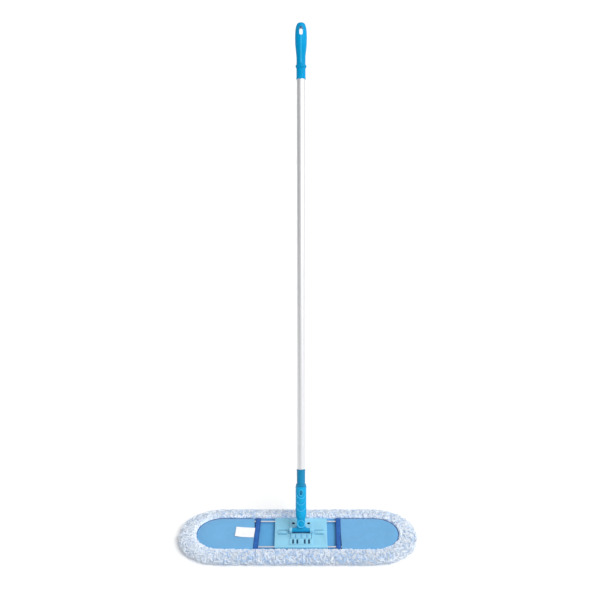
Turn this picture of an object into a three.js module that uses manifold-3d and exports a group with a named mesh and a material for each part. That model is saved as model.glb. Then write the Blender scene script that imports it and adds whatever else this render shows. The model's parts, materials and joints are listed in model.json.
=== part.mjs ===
// A 60 cm flat dust mop: a swivelling handle on a folding wire frame that carries a yarn cover.
// Millimetres, +Z up. The head lies level and the handle leans back over it (+Y is rearward).
// The part's origin is the centre of the hanging hole in the grip. Most shapes are written in the
// head's frame (floor at z = 0, middle of the base plate at x = y = 0) or in the handle's frame
// (z along the handle, from the axis of the swivel's cross bar).

import * as THREE from "three";
import { mergeVertices } from "three/addons/utils/BufferGeometryUtils.js";
import Module from "manifold-3d";

const wasm = await Module();
wasm.setup();

// ---- driving dimensions ----------------------------------------------------------------------

const GAP = 0.3; // clearance between neighbouring pieces
const CHAMFER = 1; // on the turned pieces' outer edges
const LEAD_IN = 2; // on the ends that are pushed into another piece
const HANDLE_LEAN = THREE.MathUtils.degToRad(29);

// heights of the head's layers above the floor
const BACKING_BOTTOM = 14;
const BACKING_TOP = 15.2;
const PLATE_BOTTOM = 15.8;
const PLATE_TOP = 25;
const HOUSING_TOP = 26.5;
const WIRE_HEIGHT = 19.2;
const BAR_HEIGHT = 34.5;

// yarn cover
const COVER_SHIFT = -9; // the cover sits this far to the left of the plate
const PILE = { halfLength: 325, halfDepth: 102, endLength: 115 };
const PILE_CREST = { halfLength: 316, halfDepth: 94, endLength: 105 };
const PILE_CREST_TOP = 24;
const BACKING = { halfLength: 281, halfDepth: 68, endLength: 80 };
const POCKET = { halfLength: 279, halfDepth: 66, endLength: 80, thickness: 1.4 };
const POCKET_MOUTH = 118; // from the cover's middle
const FRINGE_CLEARANCE = 1; // between the backing's edge and the standing rows of yarn
const END_ROUNDNESS = 2.15; // exponent of the superellipse at the cover's ends
const COVER_FOLD_X = 85; // the cover bends between the plate and this distance
const BINDING = { width: 13.5, depth: 132, height: 2.6 };
const LABEL = { width: 52, depth: 38, height: 0.5, rearward: 4.2 };

// folding wire frame
const WIRE_RADIUS = 2.5;
const FRAME_HALF_LENGTH = 258;
const FRAME_HALF_DEPTH = 50.5;
const FRAME_CORNER = 46;
const HINGE_X = 60;
const HINGE_STUB_Y = 36;
const HINGE_BEND = 5;
const BARREL = { radius: 3.6, bore: 2.8, halfLength: 43, boreDepth: 10 };

// base plate and what stands on it
const PLATE = { width: 143, depth: 116, corner: 3, skin: 1.9, wall: 2.4 };
const RIDGE = { halfDepth: 5, rise: 1.7, y: 0.5, inner: 37, outer: 63 };
const HOUSING = { halfWidth: 32, front: -49, rear: 55 };
const BAR_WELL = { halfWidth: 24, front: -4.5, rear: 12 };
const PEDAL = { halfWidth: 28, front: -24, rear: -7, bottom: 22, rise: 0.6 };
const PEDAL_WELL_MARGIN = 1;
const PEDAL_GROOVE = { x: [-15.5, 0, 15.5], halfWidth: 1.4, depth: 3, end: 1.5 };
const PEDAL_POST = { x: 18, radius: 1.6, bottom: 20.4 };
const PEDAL_SPRING = { radius: 2.6, wire: 0.4, turns: 5 };
const STRAP = { halfLength: 30, margin: 2, thickness: 1 };
const ROD = { inner: 32, outer: 52.6, width: 8, bottom: 18.2, height: 2.6, y: -15.5 };
const SLOT_X = [-21.5, -10, 10, 21.5];
const SLOT = { front: -45, rear: -27, width: 5 };
const SCREW = { x: 21, y: 35.7, head: 3.9, headHeight: 5.1, shank: 1.2, bottom: 17 };
const SCREW_RECESS = { radius: 1.2, depth: 1 };
const SCREW_BOSS = { outer: 6.4, bore: 4.3, bottom: 19.5, seat: 21, shankHole: 1.5, wall: 1.8 };
const CHEEK = { inner: 24.4, outer: 31.6, radius: 6.4 };

// swivel and socket, heights along the handle from the cross bar's axis
const BAR = { radius: 5.4, halfLength: 24 };
const AXLE_RADIUS = 3;
const AXLE_INSET = 0.5; // of the lean axle's ends in the bearing cheeks
const PIN_AT = 18;
const PIN_HEAD = { extra: 1.6, height: 1.5, round: 0.6 };
const LUG = { radius: 10, halfThickness: 4, waist: 11.5, webHalfWidth: 22, webBottom: 1.5 };
const EAR = { radius: 11.5, halfWidth: 11, root: 3, inner: 4.3, outer: 9 };
const SOCKET = { fork: 29.2, neck: 12, shoulder: 41, top: 119, radius: 14.75, bore: 11.7, floor: 46 };
const WINDOW = { at: 104, width: 8, length: 13 };
const BUTTON = { front: -13.6, flangeFront: -10, back: -8.2, margin: 1.9, flange: 1 };
const BUTTON_SPRING = { radius: 3, wire: 0.4, turns: 5 };
const BUTTON_POCKET = { width: 10.8, length: 15.4, back: -1.2 };

// handle
const TUBE = { radius: 11.65, bore: 10.65, bottom: 166.5, top: 1336 };
const ADAPTER = { shank: 11.4, bottom: 48, flange: 14, flangeTop: 125.5, plug: 10.3, plugTop: 206 };
const GRIP_TOP = 1386;
const GRIP_BORE = { radius: 11.95, top: 1338 };
const HANGING_HOLE = { fromTop: 25.1, width: 9, length: 24 };

// ---- colours and finishes --------------------------------------------------------------------

const finish = (color, roughness, metalness = 0) => () =>
  new THREE.MeshStandardMaterial({ color, roughness, metalness });

const gripBlue = finish(0x0a9bd0, 0.3);
const adapterBlue = finish(0x0578a8, 0.35);
const socketBlue = finish(0x2aa4dc, 0.35);
const plateBlue = finish(0x96d0ee, 0.5);
const springSteel = finish(0xc8cacc, 0.25, 1);
const satinAluminium = finish(0xc9cacc, 0.35, 1);
const canvasBlue = finish(0x70acde, 0.9);
const bindingBlue = finish(0x2a55a2, 0.85);
const labelWhite = finish(0xf4f4f2, 0.8);
const yarn = finish(0xcdd7ee, 1);

// ---- solids ------------------------------------------------------------------------------------

function toSolid(geometry) {
  const bare = geometry.clone();
  bare.deleteAttribute("normal");
  bare.deleteAttribute("uv");
  const merged = mergeVertices(bare, 1e-4);
  const mesh = new wasm.Mesh({
    numProp: 3,
    vertProperties: new Float32Array(merged.attributes.position.array),
    triVerts: new Uint32Array(merged.index.array),
  });
  return new wasm.Manifold(mesh);
}

function toGeometry(solid) {
  const mesh = solid.getMesh();
  const geometry = new THREE.BufferGeometry();
  geometry.setAttribute("position", new THREE.BufferAttribute(mesh.vertProperties, 3));
  geometry.setIndex(new THREE.BufferAttribute(mesh.triVerts, 1));
  return geometry;
}

const cut = (body, ...tools) =>
  toGeometry(tools.reduce((solid, tool) => solid.subtract(toSolid(tool)), toSolid(body)));

const join = (body, ...others) =>
  toGeometry(others.reduce((solid, other) => solid.add(toSolid(other)), toSolid(body)));

const common = (body, other) => toGeometry(toSolid(body).intersect(toSolid(other)));

const THROUGH = 60; // long enough to cut right through the thing being cut
const OVERLAP = 0.5; // how far joined solids run into each other

// a box from its low corner to its high corner
function box(low, high) {
  const size = high.map((value, axis) => value - low[axis]);
  const middle = high.map((value, axis) => (value + low[axis]) / 2);
  return new THREE.BoxGeometry(...size).translate(...middle);
}

// an outline in X and Y, raised from one height to another
function prism(shape, bottom, top, curveSegments = 12) {
  const options = { depth: top - bottom, bevelEnabled: false, curveSegments };
  return new THREE.ExtrudeGeometry(shape, options).translate(0, 0, bottom);
}

// an outline in X and Z, extruded along Y
function wall(shape, front, rear, curveSegments = 12) {
  const flat = prism(shape, -rear, -front, curveSegments);
  return flat.rotateX(Math.PI / 2);
}

const rodX = (radius, from, to, sides = 24) =>
  new THREE.CylinderGeometry(radius, radius, to - from, sides)
    .rotateZ(Math.PI / 2)
    .translate((from + to) / 2, 0, 0);

const rodY = (radius, from, to, sides = 24) =>
  new THREE.CylinderGeometry(radius, radius, to - from, sides).translate(0, (from + to) / 2, 0);

const rodZ = (radius, from, to, sides = 24) =>
  new THREE.CylinderGeometry(radius, radius, to - from, sides)
    .rotateX(Math.PI / 2)
    .translate(0, 0, (from + to) / 2);

// a turned piece about Z, from [radius, height] pairs that start and end on the axis
function turned(profile, segments = 40) {
  const points = profile.map(([radius, height]) => new THREE.Vector2(radius, height));
  return new THREE.LatheGeometry(points, segments).rotateX(Math.PI / 2);
}

// a slot outline with round ends, long in Y
function slotShape(width, length) {
  const radius = width / 2;
  const straight = length / 2 - radius;
  const shape = new THREE.Shape();
  shape.absarc(0, straight, radius, 0, Math.PI, false);
  shape.absarc(0, -straight, radius, Math.PI, 2 * Math.PI, false);
  return shape;
}

function roundedRectangle(width, depth, corner) {
  const x = width / 2 - corner;
  const y = depth / 2 - corner;
  const shape = new THREE.Shape();
  shape.absarc(x, y, corner, 0, Math.PI / 2, false);
  shape.absarc(-x, y, corner, Math.PI / 2, Math.PI, false);
  shape.absarc(-x, -y, corner, Math.PI, 1.5 * Math.PI, false);
  shape.absarc(x, -y, corner, 1.5 * Math.PI, 2 * Math.PI, false);
  return shape;
}

// the cover's outline: straight sides with superellipse ends
function coverShape({ halfLength, halfDepth, endLength }, steps = 20) {
  const power = 2 / END_ROUNDNESS;
  const points = [];
  for (const side of [1, -1]) {
    for (let step = 0; step <= steps; step += 1) {
      const angle = ((step / steps) * 2 - 1) * (Math.PI / 2);
      const along = Math.cos(angle) ** power;
      const across = Math.sign(angle) * Math.abs(Math.sin(angle)) ** power;
      const x = halfLength - endLength + endLength * (step % steps ? along : 0);
      points.push(new THREE.Vector2(side * x + COVER_SHIFT, side * halfDepth * across));
    }
  }
  return new THREE.Shape(points);
}

// a coil spring round Z as one tube
function coilSpring(radius, wire, bottom, top, turns) {
  class Helix extends THREE.Curve {
    getPoint(t, target = new THREE.Vector3()) {
      const angle = t * turns * 2 * Math.PI;
      const height = bottom + wire + t * (top - bottom - 2 * wire);
      return target.set(radius * Math.cos(angle), radius * Math.sin(angle), height);
    }
  }
  const section = new THREE.Shape();
  section.absarc(0, 0, wire, 0, 2 * Math.PI, false);
  const options = { steps: turns * 12, extrudePath: new Helix(), curveSegments: 3 };
  return new THREE.ExtrudeGeometry(section, options);
}

// ---- handle, in the handle's frame -------------------------------------------------------------

function gripGeometry() {
  const fromTop = [
    [0, 0], [5, 0.6], [8.6, 2.2], [11, 5], [13.2, 10], [15, 18], [16.1, 30], [16.4, 45],
    [15.9, 59], [15, 71], [13.7, 81], [12.6, 91], [12.3, 104], [12.6, 115], [14.3, 117],
    [15, 119], [15, 123], [14.3, 125], [12.6, 127], [12.5, 150], [12.9, 151], [12.8, 155],
  ];
  const outside = fromTop.map(([radius, down]) => [radius, GRIP_TOP - down]).reverse();
  const bottom = outside[0][1];
  const bore = [[0, GRIP_BORE.top], [GRIP_BORE.radius, GRIP_BORE.top], [GRIP_BORE.radius, bottom]];
  const body = turned([...bore, ...outside]);
  const slot = slotShape(HANGING_HOLE.width, HANGING_HOLE.length);
  const hole = wall(slot, -THROUGH, THROUGH).translate(0, 0, GRIP_TOP - HANGING_HOLE.fromTop);
  return cut(body, hole);
}

function tubeGeometry() {
  const { radius, bore, bottom, top } = TUBE;
  return turned([[bore, bottom], [radius, bottom], [radius, top], [bore, top], [bore, bottom]]);
}

function adapterGeometry() {
  const { shank, bottom, flange, flangeTop, plug, plugTop } = ADAPTER;
  const shoulder = SOCKET.top + GAP;
  const collarTop = TUBE.bottom - GAP;
  const body = turned([
    [0, bottom], [shank - LEAD_IN, bottom], [shank, bottom + LEAD_IN], [shank, shoulder],
    [flange, shoulder], [flange, flangeTop - CHAMFER], [flange - CHAMFER, flangeTop],
    [TUBE.radius, flangeTop], [TUBE.radius, collarTop], [plug, collarTop],
    [plug, plugTop - LEAD_IN], [plug - LEAD_IN, plugTop], [0, plugTop],
  ]);
  const { width, length, back } = BUTTON_POCKET;
  return cut(body, wall(slotShape(width, length), -THROUGH, back).translate(0, 0, WINDOW.at));
}

function socketGeometry() {
  const { fork, neck, shoulder, top, radius, bore, floor } = SOCKET;
  const sleeve = turned([
    [0, fork], [neck, fork], [radius, shoulder], [radius, top - CHAMFER],
    [radius - CHAMFER, top], [bore, top], [bore, floor], [0, floor],
  ]);
  const outline = new THREE.Shape();
  outline.moveTo(EAR.halfWidth, fork + EAR.root);
  outline.lineTo(-EAR.halfWidth, fork + EAR.root);
  outline.absarc(0, PIN_AT, EAR.radius, Math.PI, 2 * Math.PI, false);
  outline.closePath();
  const frontEar = wall(outline, -EAR.outer, -EAR.inner, 24);
  const rearEar = wall(outline, EAR.inner, EAR.outer, 24);
  const window = wall(slotShape(WINDOW.width, WINDOW.length), -THROUGH, 0).translate(0, 0, WINDOW.at);
  return cut(join(sleeve, frontEar, rearEar), pinHole(), window);
}

const pinHole = () => rodY(AXLE_RADIUS + GAP, -THROUGH, THROUGH).translate(0, 0, PIN_AT);

function buttonGeometry() {
  const { front, flangeFront, back, margin, flange } = BUTTON;
  const outline = (extra) => slotShape(WINDOW.width + 2 * extra, WINDOW.length + 2 * extra);
  const button = wall(outline(-margin), front, flangeFront);
  const foot = wall(outline(flange), flangeFront - OVERLAP, back);
  return join(button, foot).translate(0, 0, WINDOW.at);
}

function buttonSpringGeometry() {
  const { radius, wire, turns } = BUTTON_SPRING;
  const spring = coilSpring(radius, wire, GAP - BUTTON_POCKET.back, -BUTTON.back - GAP, turns);
  return spring.rotateX(Math.PI / 2).translate(0, 0, WINDOW.at);
}

// the cross bar, with a lug that stands between the socket's ears and a web on each side of it
function crossBarGeometry() {
  const { radius, halfThickness, waist, webHalfWidth, webBottom } = LUG;
  const outline = new THREE.Shape();
  outline.moveTo(-webHalfWidth, webBottom);
  outline.lineTo(webHalfWidth, webBottom);
  outline.lineTo(waist, PIN_AT / 2);
  outline.absarc(0, PIN_AT, radius, 0, Math.PI, false);
  outline.lineTo(-waist, PIN_AT / 2);
  outline.closePath();
  const lug = wall(outline, -halfThickness, halfThickness, 20);
  const bar = rodX(BAR.radius, -BAR.halfLength, BAR.halfLength, 32);
  return cut(join(lug, bar), pinHole(), rodX(AXLE_RADIUS + GAP, -THROUGH, THROUGH));
}

function pivotPinGeometry() {
  const { extra, height, round } = PIN_HEAD;
  const head = EAR.outer + GAP;
  const radius = AXLE_RADIUS + extra;
  const end = head + height;
  const profile = [
    [0, -end], [radius - round, -end], [radius, -end + round], [radius, -head],
    [AXLE_RADIUS, -head], [AXLE_RADIUS, head], [radius, head], [radius, end - round],
    [radius - round, end], [0, end],
  ];
  return turned(profile, 24).rotateX(Math.PI / 2).translate(0, 0, PIN_AT);
}

// ---- base plate, in the head's frame -------------------------------------------------------------

const screwAt = (geometry, side) => geometry.translate(side * SCREW.x, SCREW.y, 0);

// a square hole right through the plate and the housing
const well = (halfWidth, front, rear) => box([-halfWidth, front, 0], [halfWidth, rear, THROUGH]);

const barWell = () => well(BAR_WELL.halfWidth, BAR_WELL.front, BAR_WELL.rear);

const pedalWell = () =>
  well(
    PEDAL.halfWidth + PEDAL_WELL_MARGIN,
    PEDAL.front - PEDAL_WELL_MARGIN,
    PEDAL.rear + PEDAL_WELL_MARGIN,
  );

const fingerSlots = () =>
  SLOT_X.map((x) => well(SLOT.width / 2, SLOT.front, SLOT.rear).translate(x, 0, 0));

function basePlateGeometry() {
  const { width, depth, corner, skin, wall: rim } = PLATE;
  const outside = prism(roundedRectangle(width, depth, corner), PLATE_BOTTOM, PLATE_TOP, 5);
  const inside = box(
    [-width / 2 + rim, -depth / 2 + rim, 0],
    [width / 2 - rim, depth / 2 - rim, PLATE_TOP - skin],
  );
  const tray = cut(outside, inside, barWell(), pedalWell(), ...fingerSlots(), ...wireWays());
  const { outer, wall: bossWall, bottom, shankHole } = SCREW_BOSS;
  const bosses = [-1, 1].map((side) =>
    screwAt(rodZ(outer + GAP + bossWall, PLATE_BOTTOM, PLATE_TOP - skin / 2, 32), side));
  const sockets = [-1, 1].map((side) => screwAt(rodZ(outer + GAP, bottom - GAP, THROUGH, 32), side));
  const threads = [-1, 1].map((side) => screwAt(rodZ(shankHole, 0, THROUGH, 16), side));
  return cut(join(tray, ...bosses, ...plateRidges()), ...sockets, ...threads);
}

// openings in the plate's rim for the frame wires
function wireWays() {
  const half = WIRE_RADIUS + 2 * GAP;
  const ways = [];
  for (const side of [-1, 1]) {
    for (const edge of [-1, 1]) {
      const way = box([-THROUGH / 2, -half, 0], [THROUGH / 2, half, WIRE_HEIGHT + half]);
      ways.push(way.translate(side * (HINGE_X + THROUGH / 2), edge * FRAME_HALF_DEPTH, 0));
    }
  }
  return ways;
}

// one low ridge along X on each side of the housing
function plateRidges() {
  const { halfDepth, rise, y, inner, outer } = RIDGE;
  const ridge = box(
    [inner, y - halfDepth, PLATE_TOP - OVERLAP],
    [outer, y + halfDepth, PLATE_TOP + rise],
  );
  return [ridge, ridge.clone().translate(-inner - outer, 0, 0)];
}

function housingGeometry() {
  const { halfWidth, front, rear } = HOUSING;
  const { outer, bore, bottom, seat, shankHole } = SCREW_BOSS;
  const body = box([-halfWidth, front, PLATE_TOP + GAP], [halfWidth, rear, HOUSING_TOP]);
  const bosses = [-1, 1].map((side) => screwAt(rodZ(outer, bottom, HOUSING_TOP - OVERLAP, 32), side));
  const bores = [-1, 1].map((side) => screwAt(rodZ(bore, seat, THROUGH, 24), side));
  const shankHoles = [-1, 1].map((side) => screwAt(rodZ(shankHole + GAP, 0, THROUGH, 16), side));
  return cut(
    join(body, ...bosses), barWell(), pedalWell(), ...fingerSlots(), ...bores, ...shankHoles,
  );
}

function cheekGeometry(side) {
  const outline = new THREE.Shape();
  outline.moveTo(-CHEEK.radius, HOUSING_TOP + GAP);
  outline.lineTo(CHEEK.radius, HOUSING_TOP + GAP);
  outline.absarc(0, BAR_HEIGHT, CHEEK.radius, 0, Math.PI, false);
  outline.closePath();
  const block = wall(outline, -CHEEK.outer, -CHEEK.inner).rotateZ(Math.PI / 2);
  const bore = rodX(AXLE_RADIUS + GAP, 0, THROUGH).translate(0, 0, BAR_HEIGHT);
  const cheek = cut(block, bore);
  return side < 0 ? cheek.rotateZ(Math.PI) : cheek;
}

function leanAxleGeometry() {
  const end = CHEEK.outer - AXLE_INSET;
  return rodX(AXLE_RADIUS, -end, end).translate(0, 0, BAR_HEIGHT);
}

function screwGeometry(side) {
  const { head, headHeight, shank, bottom } = SCREW;
  const { radius, depth } = SCREW_RECESS;
  const seat = SCREW_BOSS.seat + GAP;
  const top = seat + headHeight;
  const body = join(rodZ(head, seat, top, 20), rodZ(shank, bottom, seat + OVERLAP, 16));
  return screwAt(cut(body, rodZ(radius, top - depth, THROUGH, 6)), side);
}

function pedalGeometry() {
  const { halfWidth, front, rear, bottom, rise } = PEDAL;
  const { x: grooveX, halfWidth: half, depth, end } = PEDAL_GROOVE;
  const top = HOUSING_TOP + rise;
  const body = box([-halfWidth, front, bottom], [halfWidth, rear, top]);
  const grooves = grooveX.map((x) =>
    box([x - half, front + end, top - depth], [x + half, rear - end, THROUGH]));
  const posts = [-1, 1].map((side) =>
    rodZ(PEDAL_POST.radius, PEDAL_POST.bottom, bottom + OVERLAP, 16)
      .translate(side * PEDAL_POST.x, ROD.y, 0));
  return cut(join(body, ...posts), ...grooves);
}

const STRAP_TOP = PLATE_BOTTOM + STRAP.thickness;

function pedalSpringGeometry(side) {
  const { radius, wire, turns } = PEDAL_SPRING;
  const spring = coilSpring(radius, wire, STRAP_TOP + GAP, PEDAL.bottom - GAP, turns);
  return spring.translate(side * PEDAL_POST.x, ROD.y, 0);
}

// the strap that closes the bottom of the pedal's well and carries its springs
function springStrapGeometry() {
  const { halfLength, margin } = STRAP;
  return box(
    [-halfLength, PEDAL.front - margin, PLATE_BOTTOM],
    [halfLength, PEDAL.rear + margin, STRAP_TOP],
  );
}

function releaseRodGeometry(side) {
  const { inner, outer, width, bottom, height, y } = ROD;
  const rod = box([inner, y - width / 2, bottom], [outer, y + width / 2, bottom + height]);
  return side < 0 ? rod.translate(-inner - outer, 0, 0) : rod;
}

// ---- folding frame -------------------------------------------------------------------------------

// a point list as straight runs with round bends of the given radii
function bentPath(corners, radii) {
  const path = new THREE.CurvePath();
  let start = corners[0];
  for (let index = 1; index < corners.length - 1; index += 1) {
    const corner = corners[index];
    const before = corners[index - 1].clone().sub(corner).setLength(radii[index - 1]).add(corner);
    const after = corners[index + 1].clone().sub(corner).setLength(radii[index - 1]).add(corner);
    path.add(new THREE.LineCurve3(start, before));
    path.add(roundBend(before, corner, after));
    start = after;
  }
  path.add(new THREE.LineCurve3(start, corners[corners.length - 1]));
  return path;
}

// close to a quarter circle
function roundBend(before, corner, after) {
  const pull = 0.552;
  return new THREE.CubicBezierCurve3(
    before,
    before.clone().lerp(corner, pull),
    after.clone().lerp(corner, pull),
    after,
  );
}

function frameWireGeometry(side) {
  const at = (x, y) => new THREE.Vector3(side * x, y, WIRE_HEIGHT);
  const corners = [
    at(HINGE_X, -HINGE_STUB_Y), at(HINGE_X, -FRAME_HALF_DEPTH),
    at(FRAME_HALF_LENGTH, -FRAME_HALF_DEPTH), at(FRAME_HALF_LENGTH, FRAME_HALF_DEPTH),
    at(HINGE_X, FRAME_HALF_DEPTH), at(HINGE_X, HINGE_STUB_Y),
  ];
  const section = new THREE.Shape();
  section.absarc(0, 0, WIRE_RADIUS, 0, 2 * Math.PI, false);
  const options = {
    steps: 100,
    extrudePath: bentPath(corners, [HINGE_BEND, FRAME_CORNER, FRAME_CORNER, HINGE_BEND]),
    curveSegments: 4,
  };
  return new THREE.ExtrudeGeometry(section, options);
}

// the sleeve that joins the two ends of the wire and turns in the plate
function hingeBarrelGeometry(side) {
  const { radius, bore, halfLength, boreDepth } = BARREL;
  const body = rodY(radius, -halfLength, halfLength);
  const bores = [-1, 1].map((end) =>
    rodY(bore, -boreDepth, boreDepth, 16).translate(0, end * halfLength, 0));
  return cut(body, ...bores).translate(side * HINGE_X, 0, WIRE_HEIGHT);
}

// ---- yarn cover ------------------------------------------------------------------------------------

const FAR = 400;
const slab = (from, to) => box([from, -FAR, -THROUGH], [to, FAR, THROUGH]);
const zones = {
  left: slab(-FAR, -COVER_FOLD_X - GAP),
  middle: slab(-COVER_FOLD_X, COVER_FOLD_X),
  right: slab(COVER_FOLD_X + GAP, FAR),
};

const backingGeometry = (zone) =>
  common(prism(coverShape(BACKING), BACKING_BOTTOM + GAP, BACKING_TOP), zones[zone]);

const pileGeometry = (zone) => common(prism(coverShape(PILE), 0, BACKING_BOTTOM), zones[zone]);

// the outer rows of yarn, which stand up round the backing
function fringeRing() {
  const inner = {
    halfLength: BACKING.halfLength + FRINGE_CLEARANCE,
    halfDepth: BACKING.halfDepth + FRINGE_CLEARANCE,
    endLength: BACKING.endLength,
  };
  const crest = prism(coverShape(PILE_CREST), BACKING_BOTTOM + GAP, PILE_CREST_TOP);
  return cut(crest, prism(coverShape(inner), 0, THROUGH));
}

const fringeGeometry = (zone) => common(fringeRing(), zones[zone]);

function middleFringeGeometry(side) {
  const half = box([-FAR, side < 0 ? -FAR : 0, -THROUGH], [FAR, side < 0 ? 0 : FAR, THROUGH]);
  return common(fringeGeometry("middle"), half);
}

const POCKET_BOTTOM = WIRE_HEIGHT + WIRE_RADIUS + GAP;

function pocketGeometry(side) {
  const sheet = prism(coverShape(POCKET), POCKET_BOTTOM, POCKET_BOTTOM + POCKET.thickness);
  const mouth = POCKET_MOUTH + GAP;
  const from = side < 0 ? -FAR : COVER_SHIFT + mouth;
  const to = side < 0 ? COVER_SHIFT - mouth : FAR;
  return common(sheet, slab(from, to));
}

function bindingGeometry(side) {
  const { width, depth, height } = BINDING;
  const from = side < 0 ? COVER_SHIFT - POCKET_MOUTH : COVER_SHIFT + POCKET_MOUTH - width;
  return box([from, -depth / 2, POCKET_BOTTOM], [from + width, depth / 2, POCKET_BOTTOM + height]);
}

function labelGeometry() {
  const { width, depth, height, rearward } = LABEL;
  const middle = COVER_SHIFT - POCKET_MOUTH - GAP - width / 2;
  const bottom = POCKET_BOTTOM + POCKET.thickness + GAP;
  return box(
    [middle - width / 2, rearward - depth / 2, bottom],
    [middle + width / 2, rearward + depth / 2, bottom + height],
  );
}

// ---- assembly ----------------------------------------------------------------------------------------

const mop = new THREE.Group();
const head = new THREE.Group();
const handle = new THREE.Group();
mop.add(head);
head.add(handle);

const holeAlongHandle = GRIP_TOP - HANGING_HOLE.fromTop;
head.position.set(
  0,
  -holeAlongHandle * Math.sin(HANDLE_LEAN),
  -BAR_HEIGHT - holeAlongHandle * Math.cos(HANDLE_LEAN),
);
handle.position.set(0, 0, BAR_HEIGHT);
handle.rotation.set(-HANDLE_LEAN, 0, 0);

function place(group, name, geometry, material) {
  const mesh = new THREE.Mesh(geometry, material());
  mesh.name = name;
  group.add(mesh);
}

place(handle, "grip", gripGeometry(), gripBlue);
place(handle, "handle_tube", tubeGeometry(), satinAluminium);
place(handle, "tube_adapter", adapterGeometry(), adapterBlue);
place(handle, "handle_socket", socketGeometry(), socketBlue);
place(handle, "snap_button", buttonGeometry(), adapterBlue);
place(handle, "snap_button_spring", buttonSpringGeometry(), springSteel);
place(handle, "swivel_cross_bar", crossBarGeometry(), socketBlue);
place(handle, "pivot_pin", pivotPinGeometry(), springSteel);

place(head, "base_plate", basePlateGeometry(), plateBlue);
place(head, "swivel_housing", housingGeometry(), plateBlue);
place(head, "lean_axle", leanAxleGeometry(), springSteel);
place(head, "release_pedal", pedalGeometry(), plateBlue);
place(head, "spring_strap", springStrapGeometry(), plateBlue);

for (const [side, word] of [[-1, "left"], [1, "right"]]) {
  place(head, `bearing_cheek_${word}`, cheekGeometry(side), plateBlue);
  place(head, `housing_screw_${word}`, screwGeometry(side), springSteel);
  place(head, `pedal_spring_${word}`, pedalSpringGeometry(side), springSteel);
  place(head, `release_rod_${word}`, releaseRodGeometry(side), springSteel);
  place(head, `frame_wire_${word}`, frameWireGeometry(side), springSteel);
  place(head, `hinge_barrel_${word}`, hingeBarrelGeometry(side), springSteel);
  place(head, `backing_${word}`, backingGeometry(word), canvasBlue);
  place(head, `pile_${word}`, pileGeometry(word), yarn);
  place(head, `fringe_${word}`, fringeGeometry(word), yarn);
  place(head, `pocket_${word}`, pocketGeometry(side), canvasBlue);
  place(head, `binding_${word}`, bindingGeometry(side), bindingBlue);
}
place(head, "pocket_label", labelGeometry(), labelWhite);
place(head, "backing_middle", backingGeometry("middle"), canvasBlue);
place(head, "pile_middle", pileGeometry("middle"), yarn);
place(head, "fringe_front_middle", middleFringeGeometry(-1), yarn);
place(head, "fringe_rear_middle", middleFringeGeometry(1), yarn);

export default mop;
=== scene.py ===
"""A 60 cm flat dust mop: its visible pieces and their materials, built round its CAD solids.

Shapes are written in millimetres in one of two frames and moved into the row's frame when a mesh
is made. The head's frame has the floor at z = 0 and the middle of the base plate at x = y = 0. The
handle's frame has z along the handle, from the axis of the swivel's cross bar, and -y at its front.
"""

import json
import math

import bmesh
import bpy
import numpy as np
from mathutils import Matrix, Vector, noise


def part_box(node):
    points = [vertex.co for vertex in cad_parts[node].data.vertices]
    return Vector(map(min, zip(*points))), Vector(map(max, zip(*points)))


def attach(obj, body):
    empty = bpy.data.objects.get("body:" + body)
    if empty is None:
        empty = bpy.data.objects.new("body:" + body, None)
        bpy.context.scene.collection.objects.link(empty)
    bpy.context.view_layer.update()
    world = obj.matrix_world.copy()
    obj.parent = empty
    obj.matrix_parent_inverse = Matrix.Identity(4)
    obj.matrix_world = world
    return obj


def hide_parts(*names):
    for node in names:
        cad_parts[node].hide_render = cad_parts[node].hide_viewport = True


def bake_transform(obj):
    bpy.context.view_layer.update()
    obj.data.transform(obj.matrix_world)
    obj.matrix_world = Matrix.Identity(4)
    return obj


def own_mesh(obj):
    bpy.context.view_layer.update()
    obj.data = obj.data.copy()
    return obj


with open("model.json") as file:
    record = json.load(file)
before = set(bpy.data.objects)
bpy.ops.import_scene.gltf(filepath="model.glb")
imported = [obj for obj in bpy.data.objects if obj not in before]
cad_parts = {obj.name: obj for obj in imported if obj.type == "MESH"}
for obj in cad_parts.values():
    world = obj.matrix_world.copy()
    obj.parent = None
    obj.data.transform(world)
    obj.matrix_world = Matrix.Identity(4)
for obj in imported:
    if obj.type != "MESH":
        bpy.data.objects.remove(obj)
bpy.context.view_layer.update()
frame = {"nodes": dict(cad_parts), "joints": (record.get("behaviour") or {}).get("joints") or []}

MM = 0.001
WORDS = {-1: "left", 1: "right"}  # the sides, as signs of X
joints = {joint["name"]: joint for joint in frame["joints"]}


# ---- the two working frames ---------------------------------------------------------------------

def low(node):
    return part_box(node)[0]


def high(node):
    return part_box(node)[1]


BAR_AXIS = Vector(joints["handle_lean"]["pos_m"])
FLOOR = low("pile_middle").z
ALONG = (-BAR_AXIS).normalized()  # the row's origin is the hanging hole, on the handle's axis
REARWARD = Vector(joints["handle_tilt"]["axis"]).normalized()
RIGHT = Vector((1, 0, 0))

HEAD = Matrix.Translation((0, BAR_AXIS.y, FLOOR)) @ Matrix.Scale(MM, 4)
HANDLE = (
    Matrix.Translation(BAR_AXIS)
    @ Matrix((RIGHT, REARWARD, ALONG)).transposed().to_4x4()
    @ Matrix.Scale(MM, 4)
)


def in_frame(place, points):
    """Points in millimetres in one of the working frames, as row-frame metres."""
    matrix = np.array(place)
    return np.asarray(points, float).reshape(-1, 3) @ matrix[:3, :3].T + matrix[:3, 3]


def head_mm(point):
    return HEAD.inverted() @ Vector(point)


# ---- mesh helpers -------------------------------------------------------------------------------

def repaint(piece, material):
    piece.data.materials.clear()
    piece.data.materials.append(material)
    return piece


def new_object(name, mesh, material):
    piece = bpy.data.objects.new(name, mesh)
    bpy.context.scene.collection.objects.link(piece)
    return repaint(piece, material)


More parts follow.
